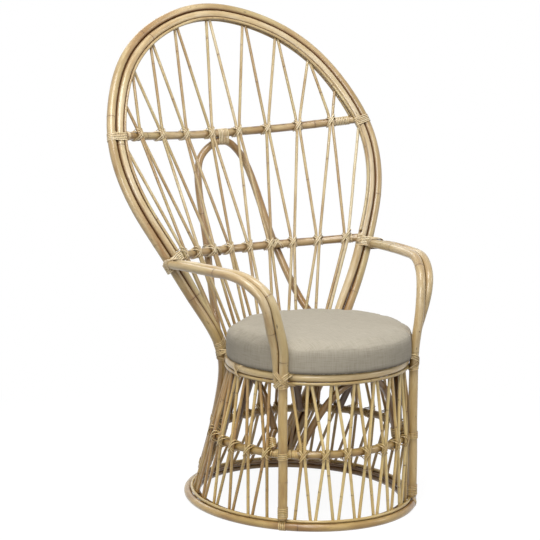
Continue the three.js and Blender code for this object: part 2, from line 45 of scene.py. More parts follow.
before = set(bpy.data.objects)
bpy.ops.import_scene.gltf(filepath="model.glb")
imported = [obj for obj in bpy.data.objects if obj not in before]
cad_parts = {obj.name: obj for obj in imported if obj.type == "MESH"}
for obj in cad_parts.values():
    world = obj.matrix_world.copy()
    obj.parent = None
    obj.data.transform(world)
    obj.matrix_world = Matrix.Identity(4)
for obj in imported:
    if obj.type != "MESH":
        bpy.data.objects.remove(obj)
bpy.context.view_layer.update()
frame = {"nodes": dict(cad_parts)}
LOG = logging.getLogger("peacock_chair")
MM = 0.001
BODY = "frame"
STEP = 4 * MM                         # between the points of a pole's line
SHARE, FIRST, SECOND, MIXED = 0, 6, 7, 2  # a Mix node's sockets when it mixes colours
LEAST, MOST = 2, 3                    # its sockets when it mixes two numbers


def linear(code: str) -> tuple[float, float, float, float]:
    """Turns an sRGB hex colour to linear light.

    Args:
        code: six hex digits, with or without a leading hash.

    Returns:
        Red, green, blue and an alpha of one.
    """
    parts = [int(code.lstrip("#")[i:i + 2], 16) / 255 for i in (0, 2, 4)]
    return (*[p / 12.92 if p <= 0.04045 else ((p + 0.055) / 1.055) ** 2.4 for p in parts], 1.0)


def add_node(tree: Tree, kind: str, inputs: dict | None = None,
             stops: list[tuple[float, str]] | None = None, **settings: object) -> bpy.types.Node:
    """Adds one shader node with its settings and links.

    Args:
        tree: the node tree.
        kind: the node's type name.
        inputs: socket name or index to a value, or to an output socket to link from.
        stops: for a colour ramp, the places and hex colours of its stops.
        **settings: the node's own properties.

    Returns:
        The new node.
    """
    node = tree.nodes.new(kind)
    for key, value in settings.items():
        setattr(node, key, value)
    for key, value in (inputs or {}).items():
        if isinstance(value, Socket):
            tree.links.new(value, node.inputs[key])
        else:
            node.inputs[key].default_value = value
    if stops:
        ramp = node.color_ramp
        while len(ramp.elements) < len(stops):
            ramp.elements.new(0.5)
        for element, (place, code) in zip(ramp.elements, stops):
            element.position, element.color = place, linear(code)
    return node


def new_material(name: str) -> tuple[bpy.types.Material, Tree]:
    """Makes an empty node material.

    Args:
        name: its name.

    Returns:
        The material and its emptied node tree.
    """
    material = bpy.data.materials.new(name)
    material.use_nodes = True
    material.node_tree.nodes.clear()
    return material, material.node_tree


@dataclass(frozen=True)
class RattanFinish:
    """Skinned rattan, bent by steam and sprayed with a thin clear satin lacquer: tan cane with fine
    long fibres, olive and darker stretches, a thin dark scar where a leaf grew and a few specks."""

    name: str
    pale: str = "#DAC8A6"
    honey: str = "#C8B083"
    warm: str = "#9E7B4D"
    olive: str = "#B9A874"
    low: str = "#FBEEC6"          # multiplies the colour of the yellower lower half
    low_heights: tuple[float, float] = (0.62, 0.34)  # where that starts and where it is full
    # The colour of the leaf scars, also used for the painted shade that the scar attribute holds.
    scar: str = "#63401F"
    speck: str = "#432C18"
    fibre: float = 0.9 * MM       # width of one streak, drawn coarser than the real 0.3 mm to show
    patch: float = 26 * MM        # size of the warmer patches
    specks: tuple[float, float, float] = (190.0, 190.0, 60.0)  # a metre, round and along a pole
    roughness: float = 0.35

    def build(self) -> bpy.types.Material:
        """Builds the material from the attributes cane (around and along), scar, with leaf scars and painted
        shade, and tone.

        Returns:
            The material.
        """
        material, tree = new_material(self.name)
        skin = add_node(tree, "ShaderNodeAttribute", attribute_name="cane").outputs["Vector"]
        fine = add_node(tree, "ShaderNodeVectorMath",
                        {0: skin, 1: (1 / self.fibre, 1 / self.fibre, 0.03 / self.fibre)},
                        operation="MULTIPLY").outputs[0]
        fibre = add_node(tree, "ShaderNodeTexNoise", {"Vector": fine, "Scale": 1.0, "Detail": 2.0,
                                                      "Roughness": 0.6}).outputs["Fac"]
        grown = self.grown_colour(tree, skin)
        aged = self.aged_colour(tree, skin, grown, fibre)
        rough = add_node(tree, "ShaderNodeMapRange", {
            "Value": fibre, "From Min": 0.3, "From Max": 0.8, "To Min": self.roughness - 0.06,
            "To Max": self.roughness + 0.14}).outputs["Result"]
        bump = add_node(tree, "ShaderNodeBump", {"Strength": 0.25, "Distance": 0.3 * MM,
                                                 "Height": fibre}).outputs["Normal"]
        shader = add_node(tree, "ShaderNodeBsdfPrincipled", {
            "Base Color": aged, "Roughness": rough, "Normal": bump, "Coat Weight": 0.5,
            "Coat Roughness": 0.13})
        add_node(tree, "ShaderNodeOutputMaterial", {"Surface": shader.outputs[0]})
        return material

    def grown_colour(self, tree: Tree, skin: Socket
                     ) -> Socket:
        """Mixes the cane's broad colours: pale to warm patches, olive stretches, a yellower foot.

        Args:
            tree: the material's nodes.
            skin: the place on the cane's skin.

        Returns:
            The colour.
        """
        tone = add_node(tree, "ShaderNodeAttribute", attribute_name="tone").outputs["Fac"]
        broad = add_node(tree, "ShaderNodeVectorMath",
                         {0: skin, 1: (1 / self.patch, 1 / self.patch, 0.22 / self.patch)},
                         operation="MULTIPLY").outputs[0]
        patch = add_node(tree, "ShaderNodeTexNoise", {"Vector": broad, "Scale": 1.0, "Detail": 3.0,
                                                      "Roughness": 0.55}).outputs["Fac"]
        # The tone attribute is each piece's own random tone plus its shade, which is in part painted shade.
        shifted = add_node(tree, "ShaderNodeMath", {0: tone, 1: 0.15, 2: patch},
                           operation="MULTIPLY_ADD").outputs[0]
        base = add_node(tree, "ShaderNodeValToRGB", {"Fac": shifted},
                        stops=[(0.3, self.pale), (0.5, self.honey), (0.78, self.warm)]).outputs["Color"]
        mood = add_node(tree, "ShaderNodeTexNoise", {"Vector": broad, "W": 7.3, "Scale": 0.5,
                                                     "Detail": 1.0}, noise_dimensions="4D").outputs["Fac"]
        green = add_node(tree, "ShaderNodeMapRange", {
            "Value": mood, "From Min": 0.5, "From Max": 0.68, "To Min": 0.0, "To Max": 0.6}).outputs["Result"]
        tinted = add_node(tree, "ShaderNodeMix", {SHARE: green, FIRST: base, SECOND: linear(self.olive)},
                          data_type="RGBA").outputs[MIXED]
        place_at = add_node(tree, "ShaderNodeTexCoord").outputs["Object"]
        height = add_node(tree, "ShaderNodeSeparateXYZ", {0: place_at}).outputs["Z"]
        lower = add_node(tree, "ShaderNodeMapRange", {
            "Value": height, "From Min": self.low_heights[0], "From Max": self.low_heights[1]
        }).outputs["Result"]
        return add_node(tree, "ShaderNodeMix", {SHARE: lower, FIRST: tinted, SECOND: linear(self.low)},
                        data_type="RGBA", blend_type="MULTIPLY").outputs[MIXED]

    def aged_colour(self, tree: Tree, skin: Socket,
                    grown: Socket, fibre: Socket) -> Socket:
        """Lays the fine marks on the cane's colour: fibres, specks, leaf scars and painted shade.

        Args:
            tree: the material's nodes.
            skin: the place on the cane's skin.
            grown: the broad colour.
            fibre: the pattern of the fibres.

        Returns:
            The colour.
        """
        # The scar attribute holds the leaf scars and also painted shade: along the top and bottom of some
        # poles, about bindings, between poles that touch, and on the peel's sides.
        scar = add_node(tree, "ShaderNodeAttribute", attribute_name="scar").outputs["Fac"]
        streak = add_node(tree, "ShaderNodeMapRange", {
            "Value": fibre, "From Min": 0.46, "From Max": 0.8, "To Min": 0.0, "To Max": 0.5
        }).outputs["Result"]
        streaked = add_node(tree, "ShaderNodeMix", {SHARE: streak, FIRST: grown, SECOND: linear(self.warm)},
                            data_type="RGBA").outputs[MIXED]
        dots = add_node(tree, "ShaderNodeVectorMath", {0: skin, 1: self.specks},
                        operation="MULTIPLY").outputs[0]
        spots = add_node(tree, "ShaderNodeTexNoise", {"Vector": dots, "Scale": 1.0,
                                                      "Detail": 1.0}).outputs["Fac"]
        flecks = add_node(tree, "ShaderNodeMapRange", {
            "Value": spots, "From Min": 0.735, "From Max": 0.79, "To Min": 0.0, "To Max": 0.75
        }).outputs["Result"]
        flecked = add_node(tree, "ShaderNodeMix", {
            SHARE: flecks, FIRST: streaked, SECOND: linear(self.speck)}, data_type="RGBA").outputs[MIXED]
        return add_node(tree, "ShaderNodeMix", {SHARE: scar, FIRST: flecked, SECOND: linear(self.scar)},
                        data_type="RGBA").outputs[MIXED]


@dataclass(frozen=True)
class LinenFinish:
    """Plain woven linen: taupe yarn of uneven thickness, matt, with long thin slubs."""

    name: str = "taupe_linen_weave"
    light: str = "#C3BBAB"
    middle: str = "#B6AE9D"
    dark: str = "#9D9482"
    shade_colour: str = "#4E483D"         # painted shade, mixed in on the side panel, and a painted shadow where the cloth tucks under
    thread: float = 0.9 * MM      # drawn coarser than the real 0.5 mm yarn, so that it shows
    slub: float = 2.6 * MM        # length of a thick place in the yarn

    def build(self) -> bpy.types.Material:
        """Builds the material from the attributes cloth, along and across the yarn, and the painted shade on
        the side and its lower edge.

        Returns:
            The material.
        """
        material, tree = new_material(self.name)
        cloth = add_node(tree, "ShaderNodeAttribute", attribute_name="cloth").outputs["Vector"]
        tucked = add_node(tree, "ShaderNodeAttribute", attribute_name="tucked").outputs["Fac"]
        waves = [add_node(tree, "ShaderNodeTexWave", {
            "Vector": cloth, "Scale": math.pi / self.thread / 10, "Distortion": 1.2, "Detail": 2.0,
            "Detail Scale": 2.0, "Phase Offset": turn}, wave_type="BANDS",
            bands_direction=axis).outputs["Fac"] for axis, turn in (("X", 0.0), ("Y", 0.5))]
        weave = add_node(tree, "ShaderNodeMath", {0: waves[0], 1: waves[1]},
                         operation="MAXIMUM").outputs[0]
        noises = []
        for scale in ((0.06, 1.0, 1.0), (1.0, 0.06, 1.0)):
            stretched = add_node(tree, "ShaderNodeVectorMath",
                                 {0: cloth, 1: tuple(s / self.slub for s in scale)},
                                 operation="MULTIPLY").outputs[0]
            noises.append(add_node(tree, "ShaderNodeTexNoise", {
                "Vector": stretched, "Scale": 1.0, "Detail": 3.0, "Roughness": 0.6}).outputs["Fac"])
        slub = add_node(tree, "ShaderNodeMath", {0: noises[0], 1: noises[1]}, operation="ADD").outputs[0]
        halved = add_node(tree, "ShaderNodeMath", {0: slub, 1: 0.5}, operation="MULTIPLY").outputs[0]
        colour = add_node(tree, "ShaderNodeValToRGB", {"Fac": halved},
                          stops=[(0.25, self.dark), (0.5, self.middle), (0.75, self.light)]).outputs["Color"]
        gaps = add_node(tree, "ShaderNodeMapRange", {
            "Value": weave, "From Min": 0.2, "From Max": 0.9, "To Min": 0.1, "To Max": 0.0}).outputs["Result"]
        woven = add_node(tree, "ShaderNodeMix", {SHARE: gaps, FIRST: colour, SECOND: linear(self.dark)},
                         data_type="RGBA").outputs[MIXED]
        # Painted shade on the side panel, and painted shadow along the lower edge.
        shaded_cloth = add_node(tree, "ShaderNodeMix", {SHARE: tucked, FIRST: woven, SECOND: linear(self.shade_colour)},
                        data_type="RGBA").outputs[MIXED]
        height = add_node(tree, "ShaderNodeMath", {0: halved, 1: 0.8, 2: weave},
                          operation="MULTIPLY_ADD").outputs[0]
        bump = add_node(tree, "ShaderNodeBump", {"Strength": 0.35, "Distance": 0.5 * MM,
                                                 "Height": height}).outputs["Normal"]
        shader = add_node(tree, "ShaderNodeBsdfPrincipled", {
            "Base Color": shaded_cloth, "Roughness": 0.92, "Normal": bump, "Sheen Weight": 0.12,
            "Sheen Roughness": 0.5, "Specular IOR Level": 0.25})
        add_node(tree, "ShaderNodeOutputMaterial", {"Surface": shader.outputs[0]})
        return material


UP, ACROSS, DEPTH = (0.0, 0.0, 1.0), (1.0, 0.0, 0.0), (0.0, 1.0, 0.0)
# The grades of rattan, as radii.
HOOP, RAIL, POST, ARM, RING = 12.5 * MM, 12 * MM, 13 * MM, 12 * MM, 12.5 * MM
LOOP, FLOOR_RING, INNER_RING, BRACE = 11 * MM, 11 * MM, 7 * MM, 10 * MM
DECK_BEAM, DECK_SLAT, CANE, TRIM = 8 * MM, 7 * MM, 4.5 * MM, 4.5 * MM
CANE_SIDES, CANE_WANDER = 10, 0.15 * MM


@dataclass(frozen=True)
class Growth:
    """How one cane grew, and what was done to it."""

    grown: float = 0.36           # metres between leaf scars, on average
    sides: int = 26               # corners in its section
    wander: float = 0.35 * MM     # how far the hand-bent line strays
    shade: float = 0.0            # how far it is darker than the palest: its own browner tone, and painted shade on pieces inside the base and under the cushion
    edges: float = 0.0            # how dark the painted shade along its top and bottom is
    foot: float = 1.0             # share of its radius left at its first end, where it is shaved


class Route(Enum):
    """How a pole runs, which settles how its line is read."""

    OPEN = "open"
    CLOSED = "closed"


@dataclass(frozen=True)
class Pole:
    """One bent pole or cane of the frame."""

    node: str
    radius: float
    sides: int                    # corners in its solid's section
    route: Route = Route.OPEN
    reference: tuple[float, float, float] = DEPTH
    growth: Growth = Growth()
    reach: tuple[float, float] = (0.0, 0.0)  # how far its ends run on; less than zero cuts them
    lead: tuple[tuple[float, float, float], ...] = ()  # points in mm before its solid's first one

    @property
    def thin(self) -> bool:
        """Says whether it is a thin cane."""
        return self.radius < 6 * MM


def seeded(name: str) -> np.random.Generator:
    """Gives a generator that is the same on every run for one piece's name."""
    return np.random.default_rng(zlib.crc32(name.encode()))


def unit(rows: np.ndarray) -> np.ndarray:
    """Scales each row of an array to length one."""
    return rows / np.maximum(np.linalg.norm(rows, axis=-1, keepdims=True), 1e-12)


def arc_length(points: np.ndarray) -> np.ndarray:
    """Gives the running length along a line of points."""
    return np.concatenate([[0.0], np.cumsum(np.linalg.norm(np.diff(points, axis=0), axis=1))])


def spline(knots: np.ndarray, spacing: float, closed: bool) -> np.ndarray:
    """Rounds a line of knots by a centripetal spline and resamples it evenly.

    Each span is a cubic whose end slopes come from the knots on both sides, weighted by the
    square root of the distances.

    Args:
        knots: the points to pass through.
        spacing: metres between the new points.
        closed: whether the last knot joins the first.

    Returns:
        The new points; a closed line doesn't repeat its first point.
    """
    p = np.vstack([knots[-1:], knots, knots[:2]]) if closed else np.vstack(
        [2 * knots[:1] - knots[1:2], knots, 2 * knots[-1:] - knots[-2:-1]])
    step = np.sqrt(np.maximum(np.linalg.norm(np.diff(p, axis=0), axis=1), 1e-9))[:, None]
    p0, p1, p2, p3 = p[:-3], p[1:-2], p[2:-1], p[3:]
    d1, d2, d3 = step[:-2], step[1:-1], step[2:]
    m1 = ((p1 - p0) / d1 - (p2 - p0) / (d1 + d2) + (p2 - p1) / d2) * d2
    m2 = ((p2 - p1) / d2 - (p3 - p1) / (d2 + d3) + (p3 - p2) / d3) * d2
    t = np.linspace(0, 1, 24, endpoint=False)[None, :, None]
    rows = (2 * t ** 3 - 3 * t ** 2 + 1) * p1[:, None] + (t ** 3 - 2 * t ** 2 + t) * m1[:, None] \
        + (-2 * t ** 3 + 3 * t ** 2) * p2[:, None] + (t ** 3 - t ** 2) * m2[:, None]
    fine = np.vstack([rows.reshape(-1, 3), p2[-1:]])
    along = arc_length(fine)
    count = max(int(round(along[-1] / spacing)), 2)
    places = np.linspace(0, along[-1], count + 1)
    even = np.stack([np.interp(places, along, fine[:, k]) for k in range(3)], axis=1)
    return even[:-1] if closed else even


def fair(line: np.ndarray, width: float) -> np.ndarray:
    """Evens out the small kinks of a long bend and keeps its ends and its size.

    Each point becomes a bell-weighted mean of its neighbours, and the difference that this
    makes is smoothed the same way and given back, so that broad curves don't shrink. Near an
    end the line is mirrored through it.

    Args:
        line: evenly spaced points.
        width: the bell's spread, in points.

    Returns:
        The faired points.
    """
    reach = int(3 * width)
    bell = np.exp(-0.5 * (np.arange(-reach, reach + 1) / width) ** 2)
    bell /= bell.sum()

    def mean(rows: np.ndarray) -> np.ndarray:
        """Gives the bell-weighted mean about each row."""
        wide = np.vstack([2 * rows[:1] - rows[reach:0:-1], rows, 2 * rows[-1:] - rows[-2:-reach - 2:-1]])
        return np.stack([np.convolve(wide[:, k], bell, mode="valid") for k in range(3)], axis=1)

    once = mean(line)
    return once + mean(line - once)


def nearest_distance(points: np.ndarray, others: np.ndarray, block: int = 2000) -> np.ndarray:
    """Gives each point's distance to the nearest of the others, a block of points at a time."""
    return np.concatenate([np.linalg.norm(points[i:i + block, None] - others[None], axis=2).min(axis=1)
                           for i in range(0, len(points), block)])


class CentreLines:
    """Reads each packed pole's centre line back from the corners of its solid."""

    def __init__(self, nodes: dict[str, bpy.types.Object]) -> None:
        """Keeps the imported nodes."""
        self.nodes = nodes

    def read(self, pole: Pole) -> np.ndarray:
        """Gives a pole's line, rounded and evenly spaced, with any points before its solid's.

        Args:
            pole: the pole.

        Returns:
            The line's points.
        """
        if pole.route is Route.CLOSED:
            return spline(self.closed_line(pole.node, pole.sides), STEP, True)
        knots = ease_straights(self.open_line(pole.node, pole.sides))
        if pole.lead:
            knots = np.vstack([np.array(pole.lead) * MM, knots])
        return spline(knots, STEP, False)

    def corners(self, name: str) -> tuple[np.ndarray, np.ndarray]:
        """Gives a node's distinct corners and its triangles.

        Args:
            name: the node.

        Returns:
            The corners, and the triangles as rows of indices into them.
        """
        mesh = self.nodes[name].data
        co = np.empty(len(mesh.vertices) * 3)
        mesh.vertices.foreach_get("co", co)
        mesh.calc_loop_triangles()
        tri = np.empty(len(mesh.loop_triangles) * 3, int)
        mesh.loop_triangles.foreach_get("vertices", tri)
        rounded = np.round(co.reshape(-1, 3) / (0.02 * MM)).astype(np.int64)
        _, first, back = np.unique(rounded, axis=0, return_index=True, return_inverse=True)
        return co.reshape(-1, 3)[first], back.reshape(-1)[tri].reshape(-1, 3)

    def open_line(self, name: str, sides: int) -> np.ndarray:
        """Walks an open pole from end to end, one ring of corners at a time.

        Args:
            name: the node.
            sides: corners in each ring.

        Returns:
            The ring centres in order.
        """
        points, triangles = self.corners(name)
        near: list[set[int]] = [set() for _ in points]
        for a, b, c in triangles:
            near[a] |= {b, c}
            near[b] |= {a, c}
            near[c] |= {a, b}

        def layers(start: set[int]) -> list[list[int]]:
            """Groups the corners by their steps away from the first ones.

            Args:
                start: the first corners.

            Returns:
                The groups, nearest first.
            """
            seen, edge, found = set(start), set(start), [sorted(start)]
            while edge:
                edge = set().union(*(near[i] for i in edge)) - seen
                seen |= edge
                if edge:
                    found.append(sorted(edge))
            return found

        tip = layers({0})[-1][0]
        ring = np.argsort(np.linalg.norm(points - points[tip], axis=1))[:sides]
        return np.array([points[layer].mean(axis=0) for layer in layers(set(ring.tolist()))])

    def closed_line(self, name: str, sides: int) -> np.ndarray:
        """Gives a level ring's section centres, from its corners sorted by angle.

        Args:
            name: the node.
            sides: corners in each section.

        Returns:
            The centres in order.
        """
        points, _ = self.corners(name)
        middle = (points.min(axis=0) + points.max(axis=0)) / 2
        angle = np.arctan2(points[:, 1] - middle[1], points[:, 0] - middle[0])
        order = np.argsort(angle)
        gaps = np.diff(np.concatenate([angle[order], angle[order][:1] + 2 * np.pi]))
        order = np.roll(order, -int(np.argmax(gaps)) - 1)
        return points[order].reshape(-1, sides, 3).mean(axis=1)


def grid_mesh(name: str, grid: np.ndarray, wrap: tuple[bool, bool], caps: bool = False) -> Mesh:
    """Puts a grid of points into a mesh of four-sided faces.

    Args:
        name: the mesh's name.
        grid: rows by columns by three.
        wrap: whether the rows, and the columns, close on themselves.
        caps: whether the first and last rows are closed by flat faces.

    Returns:
        The mesh, with its faces pointing out where columns turn clockwise seen from row one.
    """
    rows, columns = grid.shape[:2]
    index = np.arange(rows * columns).reshape(rows, columns)
    if wrap[0]:
        index = np.vstack([index, index[:1]])
    if wrap[1]:
        index = np.hstack([index, index[:, :1]])
    quads = np.stack([index[:-1, :-1], index[:-1, 1:], index[1:, 1:], index[1:, :-1]], axis=-1).reshape(-1, 4)
    faces = quads.tolist()
    if caps:
        faces += [list(range(columns))[::-1], [(rows - 1) * columns + i for i in range(columns)]]
    mesh = bpy.data.meshes.new(name)
    mesh.from_pydata(grid.reshape(-1, 3), [], faces)
    mesh.polygons.foreach_set("use_smooth", np.arange(len(faces)) < len(quads))
    return mesh


def set_attribute(mesh: Mesh, name: str, values: np.ndarray) -> None:
    """Writes a number or a vector on each vertex of a mesh."""
    vector = values.ndim == 2
    layer = mesh.attributes.new(name, "FLOAT_VECTOR" if vector else "FLOAT", "POINT")
    layer.data.foreach_set("vector" if vector else "value", values.astype(np.float32).ravel())


def place(mesh: Mesh, name: str, material: bpy.types.Material) -> bpy.types.Object:
    """Makes an object of a mesh at the origin and gives it its material.

    Args:
        mesh: the mesh.
        name: the object's name.
        material: its finish.

    Returns:
        The object.
    """
    piece = bpy.data.objects.new(name, mesh)
    bpy.context.scene.collection.objects.link(piece)
    mesh.materials.append(material)
    return piece


def join_meshes(name: str, meshes: list[Mesh]) -> Mesh:
    """Joins meshes that carry the attributes cane, scar and tone into one.

    Args:
        name: the new mesh's name.
        meshes: the meshes, which are removed.

    Returns:
        The joined mesh.
    """
    points, faces, smooth, start = [], [], [], 0
    layers: dict[str, list[np.ndarray]] = {"cane": [], "scar": [], "tone": []}
    for mesh in meshes:
        count = len(mesh.vertices)
        co = np.empty(count * 3)
        mesh.vertices.foreach_get("co", co)
        points.append(co.reshape(-1, 3))
        flags = np.empty(len(mesh.polygons), bool)
        mesh.polygons.foreach_get("use_smooth", flags)
        smooth.append(flags)
        totals = np.empty(len(mesh.polygons), int)
        mesh.polygons.foreach_get("loop_total", totals)
        corners = np.empty(len(mesh.loops), int)
        mesh.loops.foreach_get("vertex_index", corners)
        faces += [face.tolist() for face in np.split(corners + start, np.cumsum(totals)[:-1])]
        for key, store in layers.items():
            width = 3 if key == "cane" else 1
            values = np.empty(count * width, np.float32)
            mesh.attributes[key].data.foreach_get("vector" if width == 3 else "value", values)
            store.append(values.reshape(-1, 3) if width == 3 else values)
        start += count
        bpy.data.meshes.remove(mesh)
    joined = bpy.data.meshes.new(name)
    joined.from_pydata(np.vstack(points), [], faces)
    joined.polygons.foreach_set("use_smooth", np.concatenate(smooth))
    for key, store in layers.items():
        set_attribute(joined, key, np.concatenate(store))
    return joined


@dataclass(frozen=True)
class RattanBender:
    """Turns centre lines into grown poles, with their leaf scars, taper and wander."""

    spacing: float = 4.2 * MM     # between sections
    closest: float = 0.35 * MM    # two sections are never nearer than this
    about_scar: tuple[float, ...] = (-7, -4, -2.2, -1.1, 0, 1.1, 2.2, 4, 7)  # mm, extra sections
    scar_free: float = 12 * MM    # length at either end without a scar
    uneven: float = 0.28          # how far a scar strays from even places, as a share of their distance
    wave: float = 0.012           # share by which the radius waves along the pole
    swelling: float = 0.035       # share by which it swells at a scar, and is grooved in its middle
    swollen: float = 5 * MM       # how far the swelling spreads
    groove: float = 0.9 * MM      # how far the groove spreads
    shaved: float = 95 * MM       # length over which a shaved end thins
    edge_shade_waves: tuple[float, float] = (17 * MM, 7 * MM)  # lengths over which the painted edge shade comes and goes

    def stations(self, length: float, closed: bool, grown: float, rng: np.random.Generator
                 ) -> tuple[np.ndarray, np.ndarray]:
        """Chooses where sections lie: evenly, and closer about each leaf scar.

        Args:
            length: the pole's length.
            closed: whether it is a ring.
            grown: average distance between scars.
            rng: the piece's own generator.

        Returns:
            The places of the sections and of the scars, in metres along.
        """
        count = max(int(length / grown), 1)
        scars = (np.arange(count) + 0.5 + rng.uniform(-self.uneven, self.uneven, count)) * length / count
        scars = scars[(scars > self.scar_free) & (scars < length - self.scar_free)]
        even = np.linspace(0, length, max(int(length / self.spacing), 3), endpoint=not closed)
        about = (scars[:, None] + np.array(self.about_scar) * MM).ravel()
        about = about[(about > 0) & (about < length)]
        places = np.unique(np.concatenate([even, about]))
        keep = np.concatenate([[True], np.diff(places) > self.closest])
        return places[keep], scars

    def bend(self, name: str, line: np.ndarray, radius: float, closed: bool, reference: np.ndarray,
             growth: Growth) -> Mesh:
        """Carries a round section along a line.

        A section's radius is the pole's own, times a slow wave, plus a low swelling at each leaf
        scar, less a fine groove at its middle. The section's axes are the reference direction
        made square to the line, and their cross product.

        Args:
            name: the piece, which seeds its growth.
            line: evenly spaced centre points.
            radius: the pole's radius.
            closed: whether the line is a ring.
            reference: a direction that the line never follows.
            growth: how the cane grew and was dressed.

        Returns:
            The mesh, with its cane, scar and tone attributes.
        """
        rng = seeded(name)
        whole = np.vstack([line, line[:1]]) if closed else line
        along = arc_length(whole)
        places, scars = self.stations(along[-1], closed, growth.grown, rng)
        centre = np.stack([np.interp(places, along, whole[:, k]) for k in range(3)], axis=1)
        side, up = self.axes(centre, closed, reference)
        phase = rng.uniform(0, 2 * np.pi, 4)
        turns = 2 * np.pi * places / along[-1]
        centre = centre + growth.wander * (np.sin(3 * turns + phase[0])[:, None] * side
                                           + np.sin(4 * turns + phase[1])[:, None] * up)
        gaps = np.abs(places[:, None] - scars[None, :]) if len(scars) else np.full((len(places), 1), 1.0)
        away, nearest = gaps.min(axis=1), gaps.argmin(axis=1)
        swell = 1 + self.wave * np.sin(5 * turns + phase[2]) \
            + self.swelling * np.exp(-(away / self.swollen) ** 2) \
            - self.swelling * np.exp(-(away / self.groove) ** 2)
        swell *= 1 - (1 - growth.foot) * np.clip(1 - places / self.shaved, 0, 1) ** 1.3
        theta = -np.linspace(0, 2 * np.pi, growth.sides, endpoint=False)
        ring = np.cos(theta)[None, :, None] * side[:, None] + np.sin(theta)[None, :, None] * up[:, None]
        grid = centre[:, None] + (radius * swell)[:, None, None] * ring
        mesh = grid_mesh(name, grid, (closed, True), caps=not closed)
        skin = np.empty(grid.shape)
        skin[..., 0], skin[..., 1] = radius * np.cos(theta), radius * np.sin(theta)
        skin[..., 2] = places[:, None] + rng.uniform(0, 50)
        set_attribute(mesh, "cane", skin.reshape(-1, 3))
        facing = rng.uniform(0, 2 * np.pi, max(len(scars), 1))[nearest]
        dark = self.scar_marks(away, facing, theta)
        # Painted shade along the pole's top and bottom, broken into stretches; it joins the leaf scars in the
        # scar attribute.
        if growth.edges:
            long, short = self.edge_shade_waves
            waves = np.sin(places / long + phase[3]) * np.sin(places / short + phase[0])
            broken = 0.55 + 0.45 * waves
            edge = np.clip((np.abs(np.cos(theta)) - 0.6) / 0.34, 0, 1)
            dark = np.maximum(dark, growth.edges * broken[:, None] * edge[None, :])
        set_attribute(mesh, "scar", dark.ravel())
        set_attribute(mesh, "tone", np.full(dark.size, growth.shade + rng.uniform(-1, 1)))
        return mesh

    @staticmethod
    def axes(centre: np.ndarray, closed: bool, reference: np.ndarray) -> tuple[np.ndarray, np.ndarray]:
        """Gives each section's two axes, square to the line.

        The tangent is the mean of the directions to both neighbours. The first axis is the
        reference less its share along the tangent, and the second is the cross product.

        Args:
            centre: the sections' centres.
            closed: whether the line is a ring.
            reference: a direction that the line never follows.

        Returns:
            Both axes, a row for each section.
        """
        ends = [np.roll(centre, -1, axis=0) - centre, centre - np.roll(centre, 1, axis=0)]
        if not closed:
            ends[0][-1], ends[1][0] = ends[1][-1], ends[0][0]
        tangent = unit(unit(ends[0]) + unit(ends[1]))
        side = unit(reference - (tangent @ reference)[:, None] * tangent)
        return side, np.cross(tangent, side)

    @staticmethod
    def scar_marks(away: np.ndarray, facing: np.ndarray, theta: np.ndarray) -> np.ndarray:
        """Says how dark the skin is about the leaf scars.

        A narrow bell and a low wide one of the distance to the scar are added, times a wave
        round the pole that is greatest on the side where the leaf grew.

        Args:
            away: each section's distance to the nearest scar.
            facing: the angle where that scar's leaf grew.
            theta: the angles of a section's corners.

        Returns:
            The darkness, sections by corners.
        """
        ramp = 0.8 * np.exp(-(away / (1.2 * MM)) ** 2) + 0.18 * np.exp(-(away / (6 * MM)) ** 2)
        part = 0.55 + 0.45 * np.cos(theta[None, :] - facing[:, None])
        return np.clip(ramp, 0, 1)[:, None] * part


@dataclass(frozen=True)
class Member:
    """A short straight stretch of a pole that a binding goes round."""

    point: np.ndarray
    direction: np.ndarray
    radius: float
    half: float = 34 * MM         # how far the stretch runs either way of its point


def hull(points: np.ndarray) -> np.ndarray:
    """Gives the corners of the tight outline of flat points, anticlockwise.

    Args:
        points: the points, each with two coordinates.

    Returns:
        Those on the outline, in order.
    """
    order = points[np.lexsort((points[:, 1], points[:, 0]))]
    outline: list[np.ndarray] = []
    for run in (order, order[::-1]):
        chain: list[np.ndarray] = []
        for p in run:
            while len(chain) > 1 and np.cross(chain[-1] - chain[-2], p - chain[-2]) <= 0:
                chain.pop()
            chain.append(p)
        outline += chain[:-1]
    return np.array(outline)


